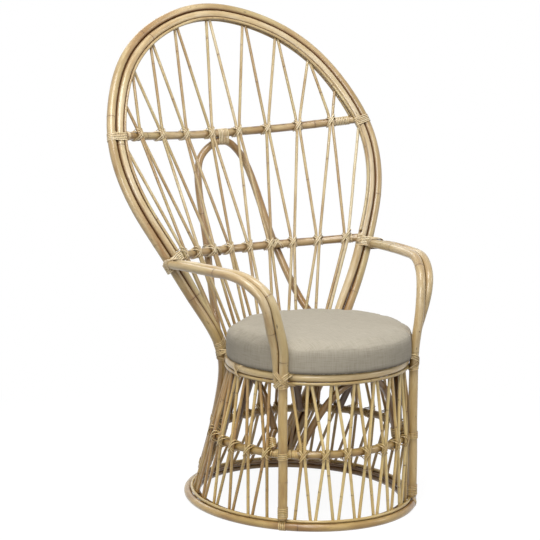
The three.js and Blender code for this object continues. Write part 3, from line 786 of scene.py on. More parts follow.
@dataclass
class Peel:
    """A flat strip of rattan peel, drawn tight round poles."""

    width: float = 4.2 * MM
    thickness: float = 1.9 * MM
    pitch: float = 5.1 * MM       # between turns laid side by side, with painted shade where they meet
    crossed: float = 4.7 * MM     # between the strands of a crossing
    steepest: float = 0.7         # a turn is never drawn longer than its pole's width over this
    flattest: float = 0.18        # a pole that runs closer to the turn's plane is left out
    turn_shade: float = 0.7        # how dark the painted shade on the strip's sides and underside is
    stations: int = 36            # sections round a turn
    section: int = 8              # corners in the strip's section

    def strand(self, name: str, origin: np.ndarray, normal: np.ndarray, members: list[Member],
               lift: float = 0.0) -> Mesh | None:
        """Draws one closed turn of peel round the members, in one plane.

        The turn is the tight outline of the members' cuts by the plane, moved out by half the
        peel's thickness, with its corners eased. The strip's section is a flat oval.

        Args:
            name: the mesh's name, which seeds its tone.
            origin: a point of the plane.
            normal: the plane's normal, along which the strip's width lies.
            members: the poles inside the turn.
            lift: extra distance out, where the turn crosses another.

        Returns:
            The strip's mesh, or None where the plane misses the members.
        """
        normal = unit(normal)
        e1 = unit(np.cross(normal, [0.31, 0.17, 0.93]))
        e2 = np.cross(normal, e1)
        rings = [self.cut(m, origin, normal, e1, lift) for m in members
                 if abs(float(m.direction @ normal)) >= self.flattest]
        if not rings:
            return None
        outline = hull(np.vstack([np.stack([(r - origin) @ e1, (r - origin) @ e2], axis=1) for r in rings]))
        closed = np.vstack([outline, outline[:1]])
        along = arc_length(closed)
        places = np.linspace(0, along[-1], self.stations, endpoint=False)
        path = np.stack([np.interp(places, along, closed[:, k]) for k in range(2)], axis=1)
        path = 0.5 * path + 0.25 * (np.roll(path, 1, axis=0) + np.roll(path, -1, axis=0))
        tangent = unit(np.roll(path, -1, axis=0) - np.roll(path, 1, axis=0))
        out = np.stack([tangent[:, 1], -tangent[:, 0]], axis=1)
        centre = origin + path[:, :1] * e1 + path[:, 1:] * e2
        outward = out[:, :1] * e1 + out[:, 1:] * e2
        profile = np.linspace(0, 2 * np.pi, self.section, endpoint=False)
        wide = np.sign(np.cos(profile)) * np.abs(np.cos(profile)) ** 0.6 * self.width / 2
        thick = np.sign(np.sin(profile)) * np.abs(np.sin(profile)) ** 0.8 * self.thickness / 2
        grid = centre[:, None] + wide[None, :, None] * normal + thick[None, :, None] * outward[:, None]
        mesh = grid_mesh(name, grid, (True, True))
        rng = seeded(name)
        skin = np.zeros(grid.shape)
        skin[..., 0], skin[..., 1] = wide, thick
        skin[..., 2] = places[:, None] + rng.uniform(0, 50)
        set_attribute(mesh, "cane", skin.reshape(-1, 3))
        # Painted shade: only the strip's outer face stays pale; its sides and underside, between neighbouring
        # turns and against the pole, are painted dark.
        rise = np.sin(profile)
        dark = np.where(rise > 0.9, 0.0, np.where(rise > 0.5, 0.04, self.turn_shade))
        set_attribute(mesh, "scar", np.tile(dark, len(grid)))
        set_attribute(mesh, "tone", np.full(len(grid) * self.section, rng.uniform(-1, 0.7)))
        return mesh

    def cut(self, m: Member, origin: np.ndarray, normal: np.ndarray, e1: np.ndarray,
            lift: float) -> np.ndarray:
        """Gives the oval where a turn's plane cuts a pole, half the peel's thickness outside it.

        The oval's short radius is the pole's own, and its long one that over the cosine of the
        slope, which is held to the steepest drawn.

        Args:
            m: the pole.
            origin: a point of the plane.
            normal: its normal.
            e1: a direction in the plane.
            lift: extra distance out.

        Returns:
            The oval's points.
        """
        turn = np.linspace(0, 2 * np.pi, 28, endpoint=False)
        slope = float(m.direction @ normal)
        run = float(np.clip((origin - m.point) @ normal / slope, -m.half, m.half))
        flat = m.direction - slope * normal
        size = np.linalg.norm(flat)
        long = flat / size if size > 1e-6 else e1
        reach = m.radius + self.thickness / 2 + lift
        return m.point + m.direction * run \
            + np.cos(turn)[:, None] * long * reach / max(abs(slope), self.steepest) \
            + np.sin(turn)[:, None] * np.cross(normal, long) * reach


class Chair:
    """The whole chair: its finishes, its lines and the pieces made along them."""

    hoop_faired: ClassVar[float] = 55 * MM  # spread over which the hoop's bend is evened out
    trim_sunk: ClassVar[float] = 0.35 * MM  # how far a trim is pressed into the hoop
    foot_sunk: ClassVar[float] = 0.2 * MM  # the same of an outer pole's foot and its post
    leaning: ClassVar[float] = 120 * MM  # length over which that foot leans in
    arm_behind: ClassVar[float] = 60 * MM  # a post's line further back than this is the arm
    knot_shade: ClassVar[float] = 0.62  # how dark the painted shade about a binding is
    knot_shade_reach: ClassVar[float] = 18 * MM  # how far it spreads

    def __init__(self) -> None:
        """Builds the finishes and the tools that the sub-assemblies share."""
        self.pole_finish = RattanFinish("skinned_rattan_pole").build()
        self.cane_finish = RattanFinish("thin_rattan_cane", pale="#D8C9A4", honey="#C6B184", warm="#A28456",
                                        fibre=0.7 * MM, patch=18 * MM).build()
        self.peel_finish = RattanFinish("rattan_peel_binding", pale="#E8D8B7", honey="#DCC79E",
                                        warm="#BE9E6F", olive="#CCBC8C", fibre=0.6 * MM, patch=12 * MM,
                                        roughness=0.42).build()
        # A darker copy of the pole finish: painted shade, for the pieces inside the base.
        self.shaded_finish = RattanFinish("dark_rattan_brace", pale="#AD9068", honey="#8F7149", warm="#6B4F31",
                                       olive="#8B7348").build()
        # A lighter copy of the cane finish for the base's walls: painted light, making up for the light that
        # the seat keeps off them.
        self.lit_wall_finish = RattanFinish("pale_rattan_cane", pale="#F0E1B9", honey="#DFC998", warm="#B7976A",
                                        fibre=0.7 * MM, patch=18 * MM).build()
        self.reader = CentreLines(frame["nodes"])
        self.bender = RattanBender()
        self.peel = Peel()
        self.lines: dict[str, np.ndarray] = {}
        self.radii: dict[str, float] = {}
        self.knots: list[np.ndarray] = []
        self.canes: list[bpy.types.Object] = []

    def finish_piece(self, piece: bpy.types.Object, slot: str, *nodes: str) -> None:
        """Makes a piece ride on the frame and stand for its solids.

        Args:
            piece: the piece.
            slot: its material slot; not used.
            *nodes: the solids that it replaces, if any.
        """
        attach(piece, BODY)
        if nodes:
            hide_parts(*nodes)
            self.canes.append(piece)
        LOG.info("made %s", piece.name)

    def paint_contact_shade(self) -> None:
        """Paints shade on the poles about each binding and where they touch another pole.

        The scar attribute is raised to the larger of a bell of the distance to the nearest knot
        and a sharper one of the distance to the face of a pole alongside.
        """
        for piece in self.canes:
            points = vertex_positions(piece.data)
            scar = np.empty(len(points), np.float32)
            piece.data.attributes["scar"].data.foreach_get("value", scar)
            near = nearest_distance(points, np.array(self.knots))
            scar = np.maximum(scar, self.knot_shade * np.exp(-(near / self.knot_shade_reach) ** 2))
            for other, reach in SHADE_ALONGSIDE.get(piece.name.removesuffix("_rattan"), {}).items():
                apart = nearest_distance(points, self.lines[other]) - self.radii[other]
                scar = np.maximum(scar, np.exp(-(np.maximum(apart, 0) / (reach * MM)) ** 4))
            piece.data.attributes["scar"].data.foreach_set("value", scar.astype(np.float32))

    def make_pole(self, pole: Pole) -> None:
        """Makes the visible pole of one node.

        Args:
            pole: the pole.
        """
        line = self.reader.read(pole)
        if pole.node.startswith("hoop_"):
            line = fair(line, self.hoop_faired / STEP)
        line = self.run_on(line, pole)
        if pole.node.startswith("hoop_trim"):
            line = self.hug(line)
        if pole.growth.foot < 1:
            line = self.lean_in(line, pole, self.lines[pole.node.replace("outer", "post")])
        self.lines[pole.node] = line
        self.radii[pole.node] = pole.radius
        growth = replace(pole.growth, sides=CANE_SIDES, wander=CANE_WANDER) if pole.thin else pole.growth
        mesh = self.bender.bend(pole.node + "_rattan", line, pole.radius, pole.route is Route.CLOSED,
                                np.array(pole.reference), growth)
        # Braces and the base's inner rings sit inside the base and take the darker finish: painted shade.
        dark = pole.node.startswith("brace_") or pole.node in ("base_ring_inner", "base_rim_inner")
        finish = self.shaded_finish if dark else self.cane_finish if pole.thin else self.pole_finish
        piece = place(mesh, pole.node + "_rattan", finish)
        self.finish_piece(piece, "rattan_cane" if pole.thin else "rattan_pole", pole.node)

    def run_on(self, line: np.ndarray, pole: Pole) -> np.ndarray:
        """Carries a pole's ends on past its solid, to where a binding or another pole hides them.

        A trim follows the inner hoop pole at the distance that it ends with; any other pole
        runs on straight.

        Args:
            line: the pole's points.
            pole: the pole, which says how far each end runs on.

        Returns:
            The longer line.
        """
        for turn, length in enumerate(pole.reach):
            steps = int(round(length / STEP))
            if steps < 0:
                line = line[-steps:] if turn == 0 else line[:steps]
            if steps <= 0:
                continue
            line = line[::-1] if turn == 0 else line
            if pole.node.startswith("hoop_trim"):
                hoop = self.lines["hoop_inner"]
                i = int(np.argmin(np.linalg.norm(hoop - line[-1], axis=1)))
                hand = 1 if (hoop[min(i + 9, len(hoop) - 1)] - hoop[i]) @ (line[-1] - line[-9]) > 0 else -1
                more = hoop[i + hand * np.arange(1, steps + 1)] + (line[-1] - hoop[i])
            else:
                more = line[-1] + unit(line[-1] - line[-5]) * STEP * np.arange(1, steps + 1)[:, None]
            line = np.vstack([line, more])
            line = line[::-1] if turn == 0 else line
        return line

    def hug(self, line: np.ndarray) -> np.ndarray:
        """Draws a trim tight on to the inner hoop pole.

        What parts a point from the pole's nearest point, less its share along the pole, is
        scaled to both radii, less what the trim is pressed in.

        Args:
            line: the trim's points.

        Returns:
            The points moved on to the pole.
        """
        hoop = self.lines["hoop_inner"]
        i = np.argmin(np.linalg.norm(line[:, None] - hoop[None], axis=2), axis=1)
        tangent = unit(hoop[np.minimum(i + 1, len(hoop) - 1)] - hoop[np.maximum(i - 1, 0)])
        apart = line - hoop[i]
        slid = (apart * tangent).sum(axis=1, keepdims=True) * tangent
        return hoop[i] + slid + unit(apart - slid) * (HOOP + TRIM - self.trim_sunk)

    def lean_in(self, line: np.ndarray, pole: Pole, post: np.ndarray) -> np.ndarray:
        """Leans a pole's shaved foot on to the post beside it.

        Each point moves level towards the post's point at its height, by what parts the two
        less both radii, times a share that eases from one at the foot to zero above. The arm's
        part of the post's line, which lies behind, is left out of the search.

        Args:
            line: the pole's points, foot first.
            pole: the pole.
            post: the post's points.

        Returns:
            The leaning line.
        """
        behind = post[None, :, 1] > line[0, 1] + self.arm_behind
        level = post[np.argmin(np.abs(post[None, :, 2] - line[:, None, 2]) + behind, axis=1)]
        apart = (level - line) * (1, 1, 0)
        size = np.linalg.norm(apart, axis=1, keepdims=True)
        share = np.clip(1 - arc_length(line) / self.leaning, 0, 1)[:, None]
        share = share * share * (3 - 2 * share)
        spare = size - POST - pole.radius * pole.growth.foot - self.foot_sunk
        return line + apart / np.maximum(size, 1e-9) * share * spare

    def member(self, node: str, near: np.ndarray) -> Member:
        """Gives the stretch of a pole nearest to a point.

        Args:
            node: the pole's node.
            near: the point.

        Returns:
            The stretch as a straight member.
        """
        points = self.lines[node]
        i = int(np.argmin(np.linalg.norm(points - near, axis=1)))
        lo, hi = max(i - 2, 0), min(i + 2, len(points) - 1)
        direction = unit(points[hi] - points[lo])
        ends = np.linalg.norm(points[[0, -1]] - points[i], axis=1)
        half = min(Member.half, max(float(ends.min()), 8 * MM))
        return Member(points[i], direction, self.radii[node], half)

    def at_height(self, node: str, z: float, side: float) -> np.ndarray:
        """Gives the point of a pole's line at a height, on the side of the given sign."""
        points = self.lines[node]
        chosen = points[points[:, 0] * side > 0]
        return chosen[int(np.argmin(np.abs(chosen[:, 2] - z)))]

    def cross(self, name: str, near: np.ndarray, along: np.ndarray, up: np.ndarray,
              members: list[Member], strands: int = 2, angle: float = 50.0) -> list[Mesh]:
        """Binds a crossing with two slanting sets of turns that form an X.

        Args:
            name: the binding's name.
            near: the middle of the crossing.
            along: the direction of the pole that carries.
            up: the direction of what is tied to it.
            members: the poles inside the turns.
            strands: turns in each arm of the X.
            angle: slant of the turns from the carrying pole, in degrees.

        Returns:
            The meshes of the turns.
        """
        along = unit(along)
        up = unit(up - (up @ along) * along)
        self.knots.append(near)
        made = []
        for hand in (1, -1):
            slant = math.radians(angle) * hand
            normal = -math.sin(slant) * along + math.cos(slant) * up
            for k in range(strands):
                shift = (k - (strands - 1) / 2) * self.peel.crossed
                lift = 0.0 if hand > 0 else self.peel.thickness * 0.9
                made.append(self.peel.strand(f"{name}_{hand}_{k}", near + shift * normal, normal,
                                             members, lift))
        return [m for m in made if m]

    def coil(self, name: str, near: np.ndarray, axis: np.ndarray, members: list[Member], turns: int,
             tilt: float = 4.0) -> list[Mesh]:
        """Binds poles with turns laid side by side.

        Args:
            name: the binding's name.
            near: the middle of the coil.
            axis: the direction along which the turns follow each other.
            members: the poles inside the turns.
            turns: how many turns.
            tilt: slant of each turn, in degrees.

        Returns:
            The meshes of the turns.
        """
        axis = unit(axis)
        self.knots.append(near)
        side = unit(np.cross(axis, [0.2, 0.9, 0.35]))
        normal = math.cos(math.radians(tilt)) * axis + math.sin(math.radians(tilt)) * side
        made = []
        for k in range(turns):
            shift = (k - (turns - 1) / 2) * self.peel.pitch
            made.append(self.peel.strand(f"{name}_{k}", near + shift * axis, normal, members))
        return [m for m in made if m]

    def bind(self, name: str, meshes: list[Mesh]) -> None:
        """Joins the turns of one part of the chair into a piece that rides on the frame."""
        piece = place(join_meshes(name, meshes), name, self.peel_finish)
        self.finish_piece(piece, "rattan_cane")


def ease_straights(knots: np.ndarray) -> np.ndarray:
    """Adds points near both ends of long straight stretches, so that a spline keeps them straight.

    Args:
        knots: the line's points.

    Returns:
        Those and the added ones.
    """
    rows = [knots[0]]
    for a, b in zip(knots[:-1], knots[1:]):
        length = float(np.linalg.norm(b - a))
        if length > 70 * MM:
            step = (b - a) * (12 * MM / length)
            rows += [a + step, b - step]
        rows.append(b)
    return np.array(rows)


# Poles that touch, and how far in mm from the other's face the painted shade between them reaches.
SHADE_ALONGSIDE = {
    "hoop_outer": {"hoop_inner": 6.5}, "hoop_inner": {"hoop_outer": 6.5, "hoop_trim_front": 2.2},
    "hoop_trim_front": {"hoop_inner": 2.2},
    "arm_post_left": {"arm_outer_left": 2.2}, "arm_post_right": {"arm_outer_right": 2.2},
    "arm_outer_left": {"arm_post_left": 2.2}, "arm_outer_right": {"arm_post_right": 2.2},
    "seat_ring": {"seat_trim": 4}, "base_ring_outer": {"base_rim_outer": 4}, "rail_lower": {"back_loop": 4},
}


@dataclass(frozen=True)
class Back:
    """The hoop and its trims, the two rails and the inner loop."""

    trim_front: tuple[float, float] = (80 * MM, 24 * MM)  # how far the ends run on
    trim_rear: tuple[float, float] = (56 * MM, 56 * MM)
    rail_upper: float = 16 * MM       # how far the rails go into the hoop
    rail_lower: float = 20 * MM

    def poles(self) -> list[Pole]:
        """Lists the poles.

        Returns:
            The poles, the hoop before the trims that are drawn on to it.
        """
        # The rails' edge shade is painted shade along their top and bottom.
        rails = [Pole(f"rail_{name}", RAIL, 8, reference=UP, reach=(reach, reach),
                      growth=Growth(0.3, shade=shade, edges=1.0))
                 for name, reach, shade in (("upper", self.rail_upper, 1.6),
                                            ("lower", self.rail_lower, 1.0))]
        return [
            Pole("hoop_outer", HOOP, 8, growth=Growth(0.34)),
            Pole("hoop_inner", HOOP, 8, growth=Growth(0.4, shade=0.2)),
            Pole("hoop_trim_front", TRIM, 5, reach=self.trim_front),
            Pole("hoop_trim_rear", TRIM, 5, growth=Growth(shade=1.6), reach=self.trim_rear),
            *rails,
            Pole("back_loop", LOOP, 8, growth=Growth(0.3, shade=1.3)),
        ]


@dataclass(frozen=True)
class Fan:
    """The spindles of the back, in two sets that cross, and a short one at each side."""

    pairs: int = 8
    short_top: float = 28 * MM        # how far the short ones run on

    def poles(self) -> list[Pole]:
        """Lists the spindles.

        Returns:
            The long ones by pairs, and then the short ones.
        """
        return [
            *[Pole(f"spindle_{s}_{i}", CANE, 6, growth=Growth(0.2, shade=0.8))
              for i in range(1, self.pairs + 1) for s in "ab"],
            Pole("spindle_short_right", CANE, 6, reach=(self.short_top, 0.0)),
            Pole("spindle_short_left", CANE, 6, reach=(0.0, self.short_top)),
        ]


@dataclass(frozen=True)
class Arms:
    """The arms that bend down into the front posts, and the second poles outside them."""

    foot_cut: float = -8 * MM         # the outer poles stop above the trim
    foot_shaved: float = 0.6          # share of the radius left there

    def poles(self) -> list[Pole]:
        """Lists the poles.

        Returns:
            The poles, each post before the outer pole that leans on it.
        """
        posts = [Pole(f"arm_post_{side}", POST, 8, reference=ACROSS, growth=Growth(0.25))
                 for side in ("right", "left")]
        outers = [Pole(f"arm_outer_{side}", ARM, 8, reference=ACROSS, reach=(self.foot_cut, 0.0),
                       growth=Growth(0.28, foot=self.foot_shaved)) for side in ("right", "left")]
        return posts + outers


@dataclass(frozen=True)
class Base:
    """The rings of the base and the seat, and the braces between them."""

    # The left brace's foot, which its solid lacks, down to the middle ring.
    left_foot: tuple[tuple[float, float, float], ...] = (
        (-219, -306, 222), (-222, -298, 233), (-222, -290, 248))

    def poles(self) -> list[Pole]:
        """Lists the braces and rings.

        Returns:
            The poles.
        """
        def ring(node: str, radius: float, sides: int, growth: Growth) -> Pole:
            """Gives a level ring."""
            return Pole(node, radius, sides, Route.CLOSED, UP, growth)

        return [
            # The braces' and inner rings' shade is painted shade inside the base; the rings' edge shade is
            # painted shade along their top and bottom, as where the cushion sits on the seat ring.
            Pole("brace_front", BRACE, 8, growth=Growth(shade=0.6)),
            Pole("brace_rear", BRACE, 8, growth=Growth(shade=1.4)),
            Pole("brace_right", BRACE, 8, reference=ACROSS, growth=Growth(shade=1.2)),
            Pole("brace_left", BRACE, 8, reference=ACROSS, growth=Growth(shade=1.2), lead=self.left_foot),
            ring("base_ring_outer", FLOOR_RING, 9, Growth(0.5, shade=0.4, edges=0.45)),
            ring("base_ring_inner", INNER_RING, 7, Growth(0.5, shade=1.0)),
            ring("base_rim_outer", TRIM, 5, Growth(0.5, shade=0.3)),
            ring("base_rim_inner", TRIM, 5, Growth(0.5, shade=0.6)),
            ring("mid_ring", FLOOR_RING, 8, Growth(0.3, shade=0.2, edges=0.6)),
            ring("seat_ring", RING, 8, Growth(0.45, shade=-0.6, edges=0.75)),
            ring("seat_trim", TRIM, 5, Growth(0.5)),
        ]


@dataclass(frozen=True)
class Deck:
    """The hidden slats under the cushion and the two beams that carry them."""

    slats: int = 5

    def poles(self) -> list[Pole]:
        """Lists the beams and slats.

        Returns:
            The poles.
        """
        # The deck's shade is painted shade, under the cushion.
        beams = [Pole(f"deck_beam_{side}", DECK_BEAM, 8, reference=UP, growth=Growth(shade=1.0))
                 for side in ("front", "rear")]
        return beams + [Pole(f"deck_slat_{i}", DECK_SLAT, 8, reference=UP, growth=Growth(shade=1.0))
                        for i in range(1, self.slats + 1)]


@dataclass(frozen=True)
class Wall:
    """The front or the rear half of the base's wall of canes."""

    name: str
    panels: tuple[int, ...]           # pairs of canes in each panel
    margin: float                     # from the last pair to the post, in pairs
    centre: float                     # angle of its middle from the front
    shades: tuple[float, float]       # how dark its canes are, least and most

    @property
    def pairs(self) -> int:
        """Counts the pairs of canes."""
        return sum(self.panels)


@dataclass
class BaseLattice:
    """The pairs of canes that wall the base in: their levels, angles and spacing."""

    shift: float = -86.51 * MM        # from the base's centre to the part's origin
    # An oval for each level: its radii across and along, its middle along, and its height.
    top: tuple[float, float, float, float] = (246.87 * MM, 246.87 * MM, -91.3 * MM, 414.4 * MM)
    mid: tuple[float, float, float, float] = (286.3 * MM, 287.3 * MM, -59.11 * MM, 210 * MM)
    foot: tuple[float, float, float, float] = (293.54 * MM, 343.93 * MM, 0.0, 6 * MM)
    post_angles: tuple[float, float, float] = (0.999, 0.818, 0.793)  # where the posts cross them
    # The rear wall's darker shades are painted shade inside the base; the front wall's lighter ones, with the
    # lighter wall finish, are painted light.
    walls: tuple[Wall, ...] = (Wall("front", (2, 3, 2), 0.775, 0.0, (-3.2, 0.3)),
                               Wall("rear", (3,) * 7, 0.98, math.pi, (0.4, 2.4)))
    end_toe: float = 0.3              # how far the outermost canes spread, in pairs
    touching: float = 0.5             # half the distance between tied canes, in diameters
    apart: float = 0.62               # the same where two panels meet
    reach: float = 26 * MM            # length of the bend either side of a knot
    growth: Growth = Growth(0.17, sides=CANE_SIDES, wander=0.1 * MM)
    knots: list[tuple[np.ndarray, np.ndarray]] = field(default_factory=list)

    def on_level(self, level: tuple[float, float, float, float], angle: float) -> np.ndarray:
        """Gives the point of a level's oval at an angle from the front."""
        a, b, y, z = level
        return np.array([a * math.sin(angle), y - b * math.cos(angle) + self.shift, z])

    def cane(self, bender: RattanBender, wall: Wall, panel: int, pair: int, side: int) -> Mesh:
        """Bends one cane of a pair, from the seat's trim through its knot to the floor ring.

        At each level its angle is its place from the wall's middle, over half the wall's length
        in pairs, times half the angle that the wall spans there.

        Args:
            bender: what bends it.
            wall: its wall.
            panel: the number of its panel.
            pair: the number of its pair in the wall.
            side: -1 for the first cane of the pair, 1 for the second.

        Returns:
            The cane's mesh.
        """
        halves = [abs(wall.centre - a) for a in self.post_angles]
        here = pair - (wall.pairs - 1) / 2
        reach = (wall.pairs - 1) / 2 + wall.margin
        end = pair == (0 if side < 0 else wall.pairs - 1)
        seam = (pair if side < 0 else pair + 1) in np.cumsum([0, *wall.panels])
        spread = here + side * (self.end_toe if end else 0.5)
        shift = 0.0 if end else side * 2 * CANE * (self.apart if seam else self.touching)
        ends = [self.on_level(level, wall.centre + spread / reach * half - shift / level[0])
                for level, half in ((self.top, halves[0]), (self.foot, halves[2]))]
        turn = wall.centre + here / reach * halves[1] + side * 2 * CANE * self.touching / self.mid[0]
        knot = self.on_level(self.mid, turn)
        before, after = unit(knot - ends[0]), unit(ends[1] - knot)
        middle = unit(before + after)
        self.knots.append((knot, middle))
        line = np.array([ends[0], knot - self.reach * unit(middle + before), knot,
                         knot + self.reach * unit(middle + after), ends[1]])
        label = f"lattice_{wall.name}_{panel}_{pair}_{side}"
        return bender.bend(label, spline(ease_straights(line), STEP, False), CANE, False,
                           np.array([math.cos(turn), math.sin(turn), 0.0]),
                           replace(self.growth, shade=seeded(label).uniform(*wall.shades)))

    def build(self, chair: Chair) -> None:
        """Makes one piece for each panel of canes.

        Args:
            chair: the chair, whose tools and finishes it uses.
        """
        for wall in self.walls:
            first = 0
            for panel, count in enumerate(wall.panels, start=1):
                meshes = [self.cane(chair.bender, wall, panel, pair, side)
                          for pair in range(first, first + count) for side in (-1, 1)]
                node = f"lattice_{wall.name}_{panel}"
                piece = place(join_meshes(node + "_canes", meshes), node + "_canes", chair.lit_wall_finish)
                chair.finish_piece(piece, "rattan_cane", node)
                first += count


@dataclass
class Bindings:
    """Every wrapping of peel, where the photograph shows one and where its twin hides."""

    chair: Chair
    lattice: BaseLattice
    loop_foot: float = 0.436          # heights of the ties above the floor
    leg_ties: tuple[tuple[float, int], ...] = ((0.45, 8), (0.215, 4), (0.06, 4))  # and their turns
    leg_seat: float = 0.421
    post_seat: float = 0.424
    post_middle: float = 0.21
    post_foot: float = 0.05
    seat_radius: float = 0.2595
    seat_ties: tuple[float, float] = (0.03, 0.62)  # how far to the rear, as sines, they tie the trim
    below_rail: float = 8 * MM        # the hoop's coil lies this far under a rail's end
    trim_near: float = 40 * MM        # and takes in a trim that is nearer than this
    end_coil: float = 26 * MM         # from a rail's end to its own coil
    arm_coil: float = 18 * MM         # from an arm's end to the coil in front
    post_coil: float = 17 * MM        # from a post's knot to the coil below it
    ear_start: float = 15 * MM        # from a post's middle to a brace's first turn
    ear_middle: float = 34 * MM       # and to the middle of its turns
    ear_fan: float = 0.14             # slant from one of a brace's turns to the next
    ear_turns: int = 6

    def rails(self) -> None:
        """Binds each pair of spindles to each rail."""
        chair = self.chair
        for rail, count in (("rail_upper", 8), ("rail_lower", 9)):
            line = chair.lines[rail]
            meshes = []
            for i in range(count):
                names = self.met_at(rail, i)
                gaps = [np.linalg.norm(line[:, None] - chair.lines[n][None], axis=2) for n in names]
                near = np.mean([line[int(np.argmin(g.min(axis=1)))] for g in gaps], axis=0)
                carrying = chair.member(rail, near)
                tied = [chair.member(n, near) for n in names]
                up = np.mean([m.direction * np.sign(m.direction[2]) for m in tied], axis=0)
                meshes += chair.cross(f"{rail}_{i}", near, carrying.direction, up, [carrying, *tied])
            chair.bind(rail + "_bindings", meshes)

    @staticmethod
    def met_at(rail: str, i: int) -> list[str]:
        """Names the two spindles that meet at a rail's tie, counted from the left.

        A pair meets at the upper rail. At the lower one each meets its neighbour's, and the
        outermost of them meets a short spindle.

        Args:
            rail: the rail's node.
            i: the tie's number.

        Returns:
            The spindles' nodes.
        """
        if rail == "rail_upper":
            return [f"spindle_a_{i + 1}", f"spindle_b_{i + 1}"]
        if i == 0:
            return ["spindle_a_1", "spindle_short_left"]
        if i == 8:
            return ["spindle_b_8", "spindle_short_right"]
        return [f"spindle_b_{i}", f"spindle_a_{i + 1}"]

    def loop(self) -> None:
        """Coils the loop's bend to the upper rail, and ties its legs to the lower one and the hoop."""
        chair = self.chair
        loop = chair.lines["back_loop"]
        top = loop[int(np.argmax(loop[:, 2]))]
        meshes = chair.coil("loop_top", top + [0, 0, LOOP], np.array(ACROSS),
                            [chair.member("rail_upper", top), chair.member("back_loop", top)], 7)
        for side, label in ((-1, "left"), (1, "right")):
            level = float(chair.lines["rail_lower"][:, 2].mean())
            spot = chair.at_height("back_loop", level, side)
            rail, leg = chair.member("rail_lower", spot), chair.member("back_loop", spot)
            meshes += chair.cross(f"loop_{label}", (rail.point + leg.point) / 2, rail.direction,
                                  leg.direction, [rail, leg])
            foot = chair.at_height("back_loop", self.loop_foot, side)
            tied = [chair.member("back_loop", foot), chair.member("hoop_inner", foot)]
            meshes += chair.coil(f"loop_foot_{label}", (tied[0].point + tied[1].point) / 2,
                                 tied[0].direction, tied, 5)
        chair.bind("loop_bindings", meshes)

    def middle_ring(self) -> None:
        """Binds every pair of lattice canes to the middle ring."""
        chair, meshes = self.chair, []
        for i in range(0, len(self.lattice.knots), 2):
            (a, lean_a), (b, lean_b) = self.lattice.knots[i], self.lattice.knots[i + 1]
            near = (a + b) / 2
            ring = chair.member("mid_ring", near)
            tied = [Member(a, lean_a, CANE), Member(b, lean_b, CANE)]
            meshes += chair.cross(f"middle_{i}", (near + ring.point) / 2, ring.direction,
                                  lean_a + lean_b, [ring, *tied], angle=52)
        chair.bind("mid_ring_bindings", meshes)

    def hoop(self) -> None:
        """Ties the two hoop poles to each other and to the rails' ends, and their legs to the seat."""
        meshes = []
        for side, label in ((-1, "left"), (1, "right")):
            for rail in ("rail_upper", "rail_lower"):
                meshes += self.rail_end(rail, side, label)
            meshes += self.leg(side, label)
        self.chair.bind("hoop_bindings", meshes)

    def rail_end(self, rail: str, side: int, label: str) -> list[Mesh]:
        """Ties the hoop poles together under a rail's end, and coils the end itself.

        Args:
            rail: the rail's node.
            side: the sign of the side's x.
            label: the side's name.

        Returns:
            The meshes of the turns.
        """
        chair = self.chair
        line = chair.lines[rail]
        end = line[int(np.argmax(line[:, 0] * side))]
        outer, inner = chair.member("hoop_outer", end), chair.member("hoop_inner", end)
        upward = inner.direction * np.sign(inner.direction[2])
        tied = [outer, inner]
        trim = chair.member("hoop_trim_front", end)
        if np.linalg.norm(trim.point - end) < self.trim_near:
            tied.append(trim)
        below = (outer.point + inner.point) / 2 - self.below_rail * upward
        made = chair.coil(f"{rail}_{label}", below, upward, tied, 5)
        turns = 8 if (rail, label) == ("rail_upper", "right") else 3
        inward = chair.member(rail, end).direction
        inward = inward * -np.sign(inward[0] * side)
        start = end + inward * (self.end_coil + turns / 2 * chair.peel.pitch)
        return made + chair.coil(f"{rail}_{label}_end", start, inward, [chair.member(rail, start)], turns)

    def leg(self, side: int, label: str) -> list[Mesh]:
        """Ties the hoop's two poles together down a leg, and the leg to the seat ring.

        Args:
            side: the sign of the side's x.
            label: the side's name.

        Returns:
            The meshes of the turns.
        """
        chair, made = self.chair, []
        for z, turns in self.leg_ties:
            spot = chair.at_height("hoop_outer", z, side)
            outer, inner = chair.member("hoop_outer", spot), chair.member("hoop_inner", spot)
            made += chair.coil(f"leg_{label}_{int(z * 1000)}", (outer.point + inner.point) / 2,
                               outer.direction, [outer, inner], turns)
        spot = chair.at_height("hoop_outer", self.leg_seat, side)
        leg, ring = chair.member("hoop_outer", spot), chair.member("seat_ring", spot)
        return made + chair.cross(f"leg_seat_{label}", (leg.point + ring.point) / 2, ring.direction,
                                  leg.direction, [leg, ring], strands=3, angle=38)

    def arms(self) -> None:
        """Ties the arms to the hoop, the doubled poles to each other and the posts to the rings."""
        for side, label in ((-1, "left"), (1, "right")):
            meshes = self.arm_rear(label) + self.post_head(side, label) + self.post_foot_ties(side, label)
            self.chair.bind(f"arm_bindings_{label}", meshes)

    def arm_rear(self, label: str) -> list[Mesh]:
        """Ties both poles of an arm to the hoop, and to each other in front of it.

        Args:
            label: the side's name.

        Returns:
            The meshes of the turns.
        """
        chair, pair = self.chair, (f"arm_post_{label}", f"arm_outer_{label}")
        line = chair.lines[pair[0]]
        tip = line[int(np.argmax(line[:, 1]))]
        hoop = [chair.member("hoop_outer", tip), chair.member("hoop_inner", tip)]
        arm = [chair.member(name, tip) for name in pair]
        tips = [replace(m, direction=hoop[0].direction, half=Member.half) for m in arm]
        made = chair.coil(f"arm_rear_{label}", (tip + hoop[0].point) / 2, hoop[0].direction,
                          [*hoop, *tips], 6, tilt=8.0)
        spot = tip - self.arm_coil * arm[0].direction * np.sign(arm[0].direction[1])
        return made + chair.coil(f"arm_rear_coil_{label}", spot, arm[0].direction,
                                 [chair.member(name, spot) for name in pair], 4, tilt=14.0)

